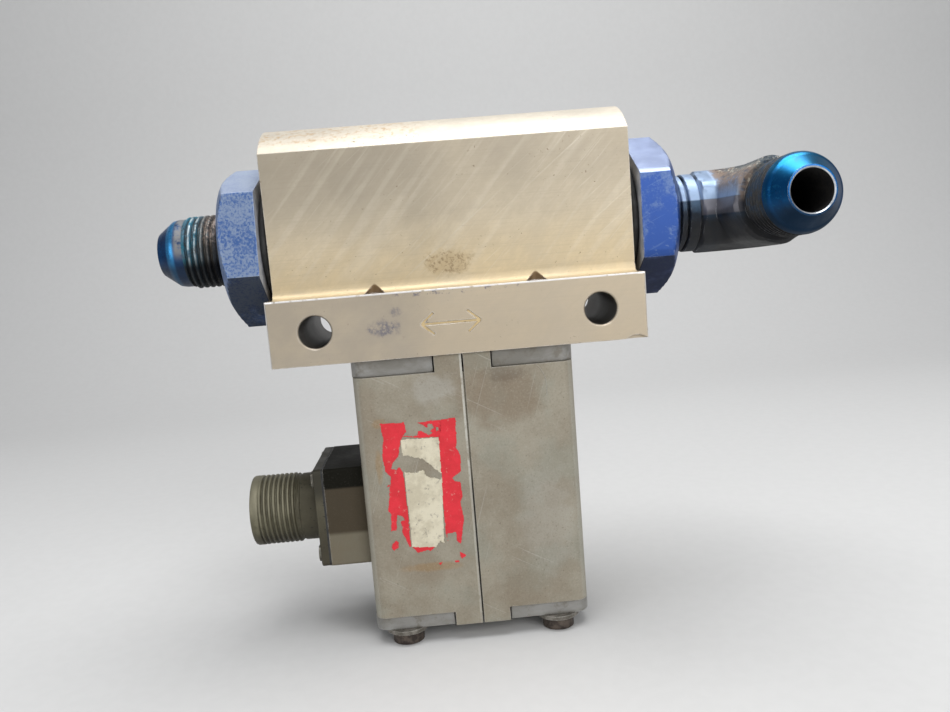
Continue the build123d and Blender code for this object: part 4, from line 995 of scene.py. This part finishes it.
def elbow_neck():
    """Neck and its two collars with broken edges."""
    out = [
        on_arm(NECK_END, BORE),
        on_arm(NECK_END, NECK_RADIUS - EDGE_DROP),
        on_arm(NECK_END + EDGE_DROP, NECK_RADIUS),
        on_arm(COLLAR_START, NECK_RADIUS),
    ]
    for start, stop, radius in COLLARS:
        edge = radius - EDGE_DROP
        out += [on_arm(start, edge), on_arm(start + EDGE_WIDTH, radius)]
        out += [on_arm(stop - EDGE_WIDTH, radius), on_arm(stop, edge), on_arm(stop, NECK_RADIUS)]
        if stop != FORGING_START:
            out.append(on_arm(stop + COLLAR_GAP, NECK_RADIUS))
    return out


def elbow_forging(root):
    """Octagon from the last collar round the bend to the thread's root."""
    after_face = (0.0, 0.3, 0.7, 1.1)
    out = [on_arm(FORGING_START + d, forged(FORGING_FACE + d * FORGING_TAPER)) for d in after_face]
    arm = steps(FORGING_START + after_face[-1], -ELBOW_BEND, FORGING_STEP)
    out += [on_arm(x, forged(FORGING_FULL)) for x in arm[1:]]
    out += [on_bend(k, forged(FORGING_FULL)) for k in range(1, BEND_STEPS + 1)]
    out += [on_end(y, forged(FORGING_FULL)) for y in steps(ELBOW_BEND, root, FORGING_STEP)[1:-1]]
    out += [on_end(root - d, forged(FORGING_ROOT + d * FORGING_TAPER)) for d in (0.8, 0.4, 0.0)]
    return out


def elbow_bore(root):
    """Bore from the thread's root back to the neck's end."""
    out = [on_end(y, BORE, INSIDE) for y in steps(root, ELBOW_BEND, 4)]
    out += [on_bend(k, BORE, INSIDE) for k in range(BEND_STEPS - 1, 0, -1)]
    out += [on_arm(x, BORE, INSIDE) for x in steps(-ELBOW_BEND, NECK_END, 6)[:-1]]
    return out


def elbow_ring(place, at, direction, radius):
    """Ring of points square to a direction."""
    upright = Vector((0, 0, 1))
    side = upright.cross(Vector(direction))
    ring = []
    for angle in ANGLES:
        across, up = turned(angle, radius)
        ring.append(tuple(place @ (Vector(at) + side * across + upright * up)))
    return ring


def outlet_elbow():
    """Neck with collars, forged octagon round the bend, threaded end and cone."""
    root = ELBOW_REACH - FLARE_LENGTH
    profile = elbow_neck() + elbow_forging(root)
    profile += [on_end(root + d, radius, band) for d, radius, band in flare_profile(*ELBOW_LEAD)]
    profile += elbow_bore(root)
    tilt = Matrix.Rotation(math.radians(-ELBOW_TILT), 4, "X")
    place = Matrix.Translation((ELBOW_X, PORT_Y, PORT_Z)) @ tilt
    rings = [elbow_ring(place, at, direction, radius) for at, direction, radius, _ in profile]
    materials = ["elbow", "elbow_thread", "right_cone", "bore_rim", "bore"]
    piece = loft("outlet_elbow_threaded", rings, materials, [band for *_, band in profile])
    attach(piece, "valve")
    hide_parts("outlet_elbow")


# Connector

SHELL_FACE = -39.3
SHELL_PLATE = -41.4
SHELL_NECK = -47.0
SHELL_TIP = -59.9
SHELL_INSIDE = 7.8
SHELL_NECK_RADIUS = 8.9
SHELL_ROOT = 8.95
SHELL_CREST = 9.5
SHELL_PITCH = 25.4 / 20
SHELL_HALF = 13.2
SHELL_CORNER = 1.2
SHELL_STEP = 0.105
SHELL_LIP = 2.0
KEY_START = -46.3
KEY_HALF = 0.8


def square_radius(angle, inset=0.0):
    """Radius of the square flange with rounded corners."""
    across, up = turned(angle, 1.0)
    across, up = abs(across), abs(up)
    edge = SHELL_HALF - inset
    flat = edge - SHELL_CORNER
    if min(across, up) * edge <= flat * max(across, up):
        return edge / max(across, up)
    middle = flat * (across + up)
    return middle + math.sqrt(max(0.0, middle * middle - 2 * flat * flat + SHELL_CORNER * SHELL_CORNER))


def shell_thread(x):
    """Radius function of the connector's thread, fading out at both ends."""
    fade = eased(SHELL_NECK - x, 0.0, 0.8) * eased(x - SHELL_TIP, SHELL_LIP, SHELL_LIP + 0.5)
    level = SHELL_CREST if x < SHELL_TIP + SHELL_LIP + 1.0 else SHELL_ROOT

    def radius(angle):
        ridge = thread_radius(x, angle, SHELL_ROOT, SHELL_CREST, SHELL_PITCH)
        return level + (ridge - level) * fade + 0.03 * wobble(x * 0.9, angle, 8.0)
    return radius


def shell_profile():
    """(place, radius) of flange, neck, thread, plain lip and inside."""
    out = [
        (SHELL_FACE, SHELL_INSIDE),
        (SHELL_FACE, square_radius),
        (SHELL_PLATE + 0.2, square_radius),
        (SHELL_PLATE, lambda angle: square_radius(angle, 0.2)),
        (SHELL_PLATE, SHELL_NECK_RADIUS + 0.7),
        (SHELL_PLATE - 0.4, SHELL_NECK_RADIUS + 0.3),
        (SHELL_NECK + 0.6, SHELL_NECK_RADIUS + 0.25),
        (SHELL_NECK + 0.3, SHELL_NECK_RADIUS),
        (SHELL_NECK, SHELL_NECK_RADIUS),
    ]
    out += [(x, shell_thread(x)) for x in steps(SHELL_NECK, SHELL_TIP + SHELL_LIP, SHELL_STEP)[1:]]
    out += [
        (SHELL_TIP + 0.4, SHELL_CREST),
        (SHELL_TIP + 0.1, SHELL_CREST - 0.15),
        (SHELL_TIP, SHELL_CREST - 0.5),
        (SHELL_TIP, SHELL_INSIDE + 0.5),
        (SHELL_TIP + 0.4, SHELL_INSIDE),
    ]
    return out


def connector_shell():
    """Square flange, neck and thread with a plain lip."""
    profile = shell_profile()
    corners = [45 + 90 * k + d for k in range(4) for d in (-3, -1, 0, 1, 3)]
    angles = sorted(set(ANGLES + corners))
    rings = [ring_across(x, radius, CONNECTOR_Z, angles) for x, radius in profile]
    piece = loft("connector_shell_threaded", rings, ["olive"], [OUTSIDE] * len(profile))
    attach(piece, "valve")
    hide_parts("connector_shell")


def connector_key():
    """Key along the top of the shell's inside."""
    start, end = SHELL_TIP + 1.5, KEY_START
    near, far = PORT_Y - KEY_HALF, PORT_Y + KEY_HALF
    outline = [(start, near), (end, near), (end, far), (start, far)]
    low, high = CONNECTOR_Z + SHELL_INSIDE - 0.9, CONNECTOR_Z + SHELL_INSIDE + 0.2
    points = [(x, y, z) for z in (low, high) for x, y in outline]
    count = len(outline)
    faces = [tuple(range(count))[::-1], tuple(range(count, 2 * count))]
    faces += [(k, (k + 1) % count, count + (k + 1) % count, count + k) for k in range(count)]
    key = built("connector_key", points, faces, shades["olive"])
    outward(key)
    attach(key, "valve")


# Label: torn paper in two colours, with nothing printed on it

PAPER_CELL = 0.16
PAPER_THICKNESS = 0.06
PAPER_LIFT = 0.04


def inside(x, z, outline):
    """Whether a point is inside an outline."""
    result = False
    for (x0, z0), (x1, z1) in zip(outline, outline[1:] + outline[:1]):
        if (z0 > z) != (z1 > z) and x < (x1 - x0) * (z - z0) / (z1 - z0) + x0:
            result = not result
    return result


def frayed(x, z, ragged):
    """How far the paper's edge strays at a point, along both axes."""
    place = Vector((x * 0.6, z * 0.6, 4.0))
    across = noise.noise(place) + 0.5 * noise.noise(place * 3.1)
    up = noise.noise(place + Vector((9, 2, 0))) + 0.5 * noise.noise(place * 2.7)
    return ragged * across, ragged * up


def paper(name, outline, torn, y, key, ragged=0.35):
    """Thin sheet inside an outline, less the torn patches, with ragged edges."""
    left, foot = min(x for x, _ in outline) - 1, min(z for _, z in outline) - 1
    columns = int((max(x for x, _ in outline) - left + 1) / PAPER_CELL)
    rows = int((max(z for _, z in outline) - foot + 1) / PAPER_CELL)
    points = {}
    places = []
    faces = []

    def corner(i, j, level):
        spot = (i, j, level)
        if spot not in points:
            x = left + i * PAPER_CELL
            z = foot + j * PAPER_CELL
            lift = PAPER_LIFT * max(0.0, noise.noise(Vector((x * 0.35, z * 0.35, 1.5))))
            points[spot] = len(places)
            places.append((x, y - (lift + PAPER_THICKNESS if level else 0.0), z))
        return points[spot]

    def kept(i, j):
        x = left + (i + 0.5) * PAPER_CELL
        z = foot + (j + 0.5) * PAPER_CELL
        dx, dz = frayed(x, z, ragged)
        if not inside(x + dx * 0.5, z + dz * 0.5, outline):
            return False
        return not any(inside(x + dx * 1.4, z + dz * 1.4, patch) for patch in torn)

    held = {(i, j) for i in range(columns) for j in range(rows) if kept(i, j)}
    for i, j in held:
        ring = [(i, j), (i + 1, j), (i + 1, j + 1), (i, j + 1)]
        beside = [(i, j - 1), (i + 1, j), (i, j + 1), (i - 1, j)]
        faces.append([corner(*place, 1) for place in ring])
        for first, second, neighbour in zip(ring, ring[1:] + ring[:1], beside):
            if neighbour not in held:
                faces.append([corner(*first, 0), corner(*second, 0), corner(*second, 1), corner(*first, 1)])
    piece = built(name, places, faces, shades[key])
    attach(piece, "valve")


def label():
    """Red frame with a cream centre, torn as in the photo; nothing is printed on it."""
    left = [(-22.1, -24.6), (-16.0, -24.8), (-15.6, -27.2), (-17.2, -29.0), (-18.3, -33.6), (-19.9, -35.2),
            (-20.4, -36.5), (-19.0, -36.9), (-18.3, -36.0), (-17.4, -37.9), (-17.2, -43.2), (-17.2, -57.6),
            (-17.6, -57.6), (-18.9, -53.7), (-19.1, -50.7), (-18.1, -50.4), (-18.6, -49.2), (-19.9, -48.7),
            (-20.5, -52.8), (-21.9, -52.9), (-21.4, -48.5), (-22.1, -47.5), (-21.7, -44.9), (-20.6, -38.7),
            (-21.9, -37.0), (-22.2, -32.6), (-21.6, -28.6)]
    top = [(-12.6, -25.1), (-6.7, -24.9), (-7.2, -29.4), (-7.5, -29.3), (-11.9, -29.1), (-17.0, -28.4),
           (-12.9, -28.5), (-12.6, -27.4), (-11.8, -27.5), (-10.0, -28.7), (-9.1, -28.0), (-11.2, -25.8)]
    right = [(-6.7, -24.9), (-2.9, -24.7), (-3.3, -32.6), (-2.5, -34.7), (-2.8, -39.0), (-5.0, -40.4),
             (-4.4, -41.2), (-3.0, -41.5), (-2.9, -45.9), (-3.6, -47.1), (-2.9, -51.0), (-4.2, -58.1),
             (-5.3, -56.8), (-5.2, -54.8), (-7.6, -55.0), (-7.5, -57.0), (-7.9, -54.7), (-7.9, -38.8),
             (-7.5, -29.4)]
    foot = [(-16.1, -58.6), (-16.9, -57.8), (-10.7, -58.0), (-12.3, -59.2), (-12.9, -58.8), (-15.5, -59.5)]
    cream = [(-17.2, -29.1), (-7.5, -29.4), (-7.7, -35.7), (-7.7, -41.0), (-8.6, -57.5), (-9.5, -56.8),
             (-10.8, -58.3), (-16.9, -57.8)]
    tear = [(-20.4, -36.4), (-19.9, -35.2), (-17.6, -33.7), (-15.4, -33.3), (-14.3, -34.2), (-12.2, -34.5),
            (-9.9, -36.8), (-7.8, -38.8), (-7.8, -40.6), (-9.6, -39.9), (-11.5, -39.0), (-12.5, -37.8),
            (-17.2, -37.9), (-18.3, -36.0), (-19.0, -36.9)]
    holes = [
        [(-10.4, -25.9), (-9.1, -25.6), (-8.5, -26.7), (-9.5, -27.5), (-10.3, -27.1)],
        [(-8.2, -26.6), (-7.4, -26.8), (-7.4, -27.8), (-8.2, -28.1)],
    ]
    scraps = [
        [(-21.8, -56.4), (-20.8, -55.6), (-20.1, -56.3), (-20.5, -57.6), (-21.7, -58.2), (-22.1, -57.4)],
        [(-4.7, -60.2), (-3.1, -61.3), (-4.3, -62.1), (-4.8, -61.3)],
        [(-10.5, -62.9), (-9.4, -62.5), (-10.0, -63.4)],
        [(-6.3, -62.5), (-5.3, -62.3), (-5.0, -62.9), (-6.0, -63.1)],
        [(-21.1, -40.4), (-21.2, -41.1), (-21.9, -41.1)],
    ]
    face = HOUSING_FRONT - 0.005
    frame_parts = {"left": (left, [tear]), "top": (top, holes), "right": (right, [tear]), "foot": (foot, [])}
    for name, (outline, torn) in frame_parts.items():
        paper("label_" + name, outline, torn, face, "label_red")
    for index, outline in enumerate(scraps):
        paper(f"label_scrap_{index + 1}", outline, [], face, "label_red", 0.4)
    paper("label_centre", cream, [tear], face - 0.03, "label_cream")


def casting_line():
    """Faint raised line left by casting on the right half's face."""
    path = [(18.4, -12.8), (19.3, -13.6), (20.1, -14.9), (20.7, -16.5), (20.9, -18.4), (20.8, -20.9)]
    curve = bpy.data.curves.new("casting_line", "CURVE")
    curve.dimensions = "3D"
    curve.bevel_depth = 0.16 * MM
    spline = curve.splines.new("POLY")
    spline.points.add(len(path) - 1)
    for point, (x, z) in zip(spline.points, path):
        point.co = (x * MM, (HOUSING_FRONT + 0.08) * MM, z * MM, 1)
    curve.materials.append(shades["cast"])
    piece = linked("casting_line", curve)
    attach(piece, "valve")


inlet_fitting()
outlet_adapter()
outlet_elbow()
connector_shell()
connector_key()
label()
casting_line()


# Floor and camera, in millimetres, and lamps, in metres

FLOOR_SIDE = 1600
FLOOR_FRONT = -900
FLOOR_BACK = 300
WALL_BEND = 250
WALL_TOP = 1400
WORLD_COLOUR = (0.93, 0.95, 1.0, 1)
WORLD_STRENGTH = 0.3
PHOTO_PIXELS = 950
FOCAL_PIXELS = 805.86
FILM_WIDTH = 36.0
CAMERA_DEGREES = (2.12, 7.84, 4.64)
CAMERA_SHIFT = (-6.72, 33.3, -216.85)


def floor():
    """Pale floor that bends up into a wall."""
    profile = [(FLOOR_FRONT, 0), (FLOOR_BACK, 0)]
    for angle in range(10, 91, 10):
        down, back = turned(angle, WALL_BEND)
        profile.append((FLOOR_BACK + back, WALL_BEND - down))
    profile.append((FLOOR_BACK + WALL_BEND, WALL_TOP))
    points = [(x, y, FLOOR_Z + z) for y, z in profile for x in (-FLOOR_SIDE, FLOOR_SIDE)]
    faces = [(2 * k, 2 * k + 1, 2 * k + 3, 2 * k + 2) for k in range(len(profile) - 1)]
    s = Shade("floor_paint")
    s.base(s.patches(4, 0.35, 0.65, 3), (0.565, 0.565, 0.56), (0.575, 0.575, 0.57))
    piece = built("floor", points, faces, s.finish(0.0, 0.85))
    smooth(piece, 60)


def lamp(name, place, aim, size, power):
    """White area lamp aimed at a point."""
    data = bpy.data.lights.new(name, "AREA")
    data.shape = "RECTANGLE"
    data.size, data.size_y = size
    data.energy = power
    made = linked(name, data)
    made.location = place
    made.rotation_euler = (Vector(aim) - Vector(place)).to_track_quat("-Z", "Y").to_euler()


def camera():
    """Camera with the place, turn and lens worked out from the photo's edges."""
    yaw, pitch, roll = (math.radians(a) for a in CAMERA_DEGREES)
    facing_front = Matrix(((1, 0, 0), (0, 0, 1), (0, -1, 0)))
    turn = Matrix.Rotation(roll, 3, "Z") @ Matrix.Rotation(pitch, 3, "X") @ Matrix.Rotation(yaw, 3, "Y")
    turn = turn @ facing_front
    place = Vector((0, PORT_Y, PORT_Z)) - turn.transposed() @ Vector(CAMERA_SHIFT)
    data = bpy.data.cameras.new("camera")
    data.sensor_width = FILM_WIDTH
    data.lens = FOCAL_PIXELS / PHOTO_PIXELS * FILM_WIDTH
    data.clip_start = 0.01
    made = linked("camera", data)
    made.matrix_world = Matrix.Translation(place * MM) @ turn.transposed().to_4x4()
    bpy.context.scene.camera = made


floor()
lamp("overhead", (0.06, -0.06, 0.62), (0, -0.02, 0.0), (0.6, 0.42), 5.0)
lamp("front_right", (0.34, -0.66, 0.3), (0, -0.02, -0.01), (0.45, 0.45), 3.0)
lamp("front_left", (-0.5, -0.55, 0.16), (0.02, -0.02, -0.01), (0.4, 0.5), 0.9)
world = bpy.data.worlds.new("studio")
bpy.context.scene.world = world
world.use_nodes = True
background = world.node_tree.nodes["Background"]
background.inputs[0].default_value = WORLD_COLOUR
background.inputs[1].default_value = WORLD_STRENGTH
camera()
bpy.context.scene.view_settings.view_transform = "Standard"
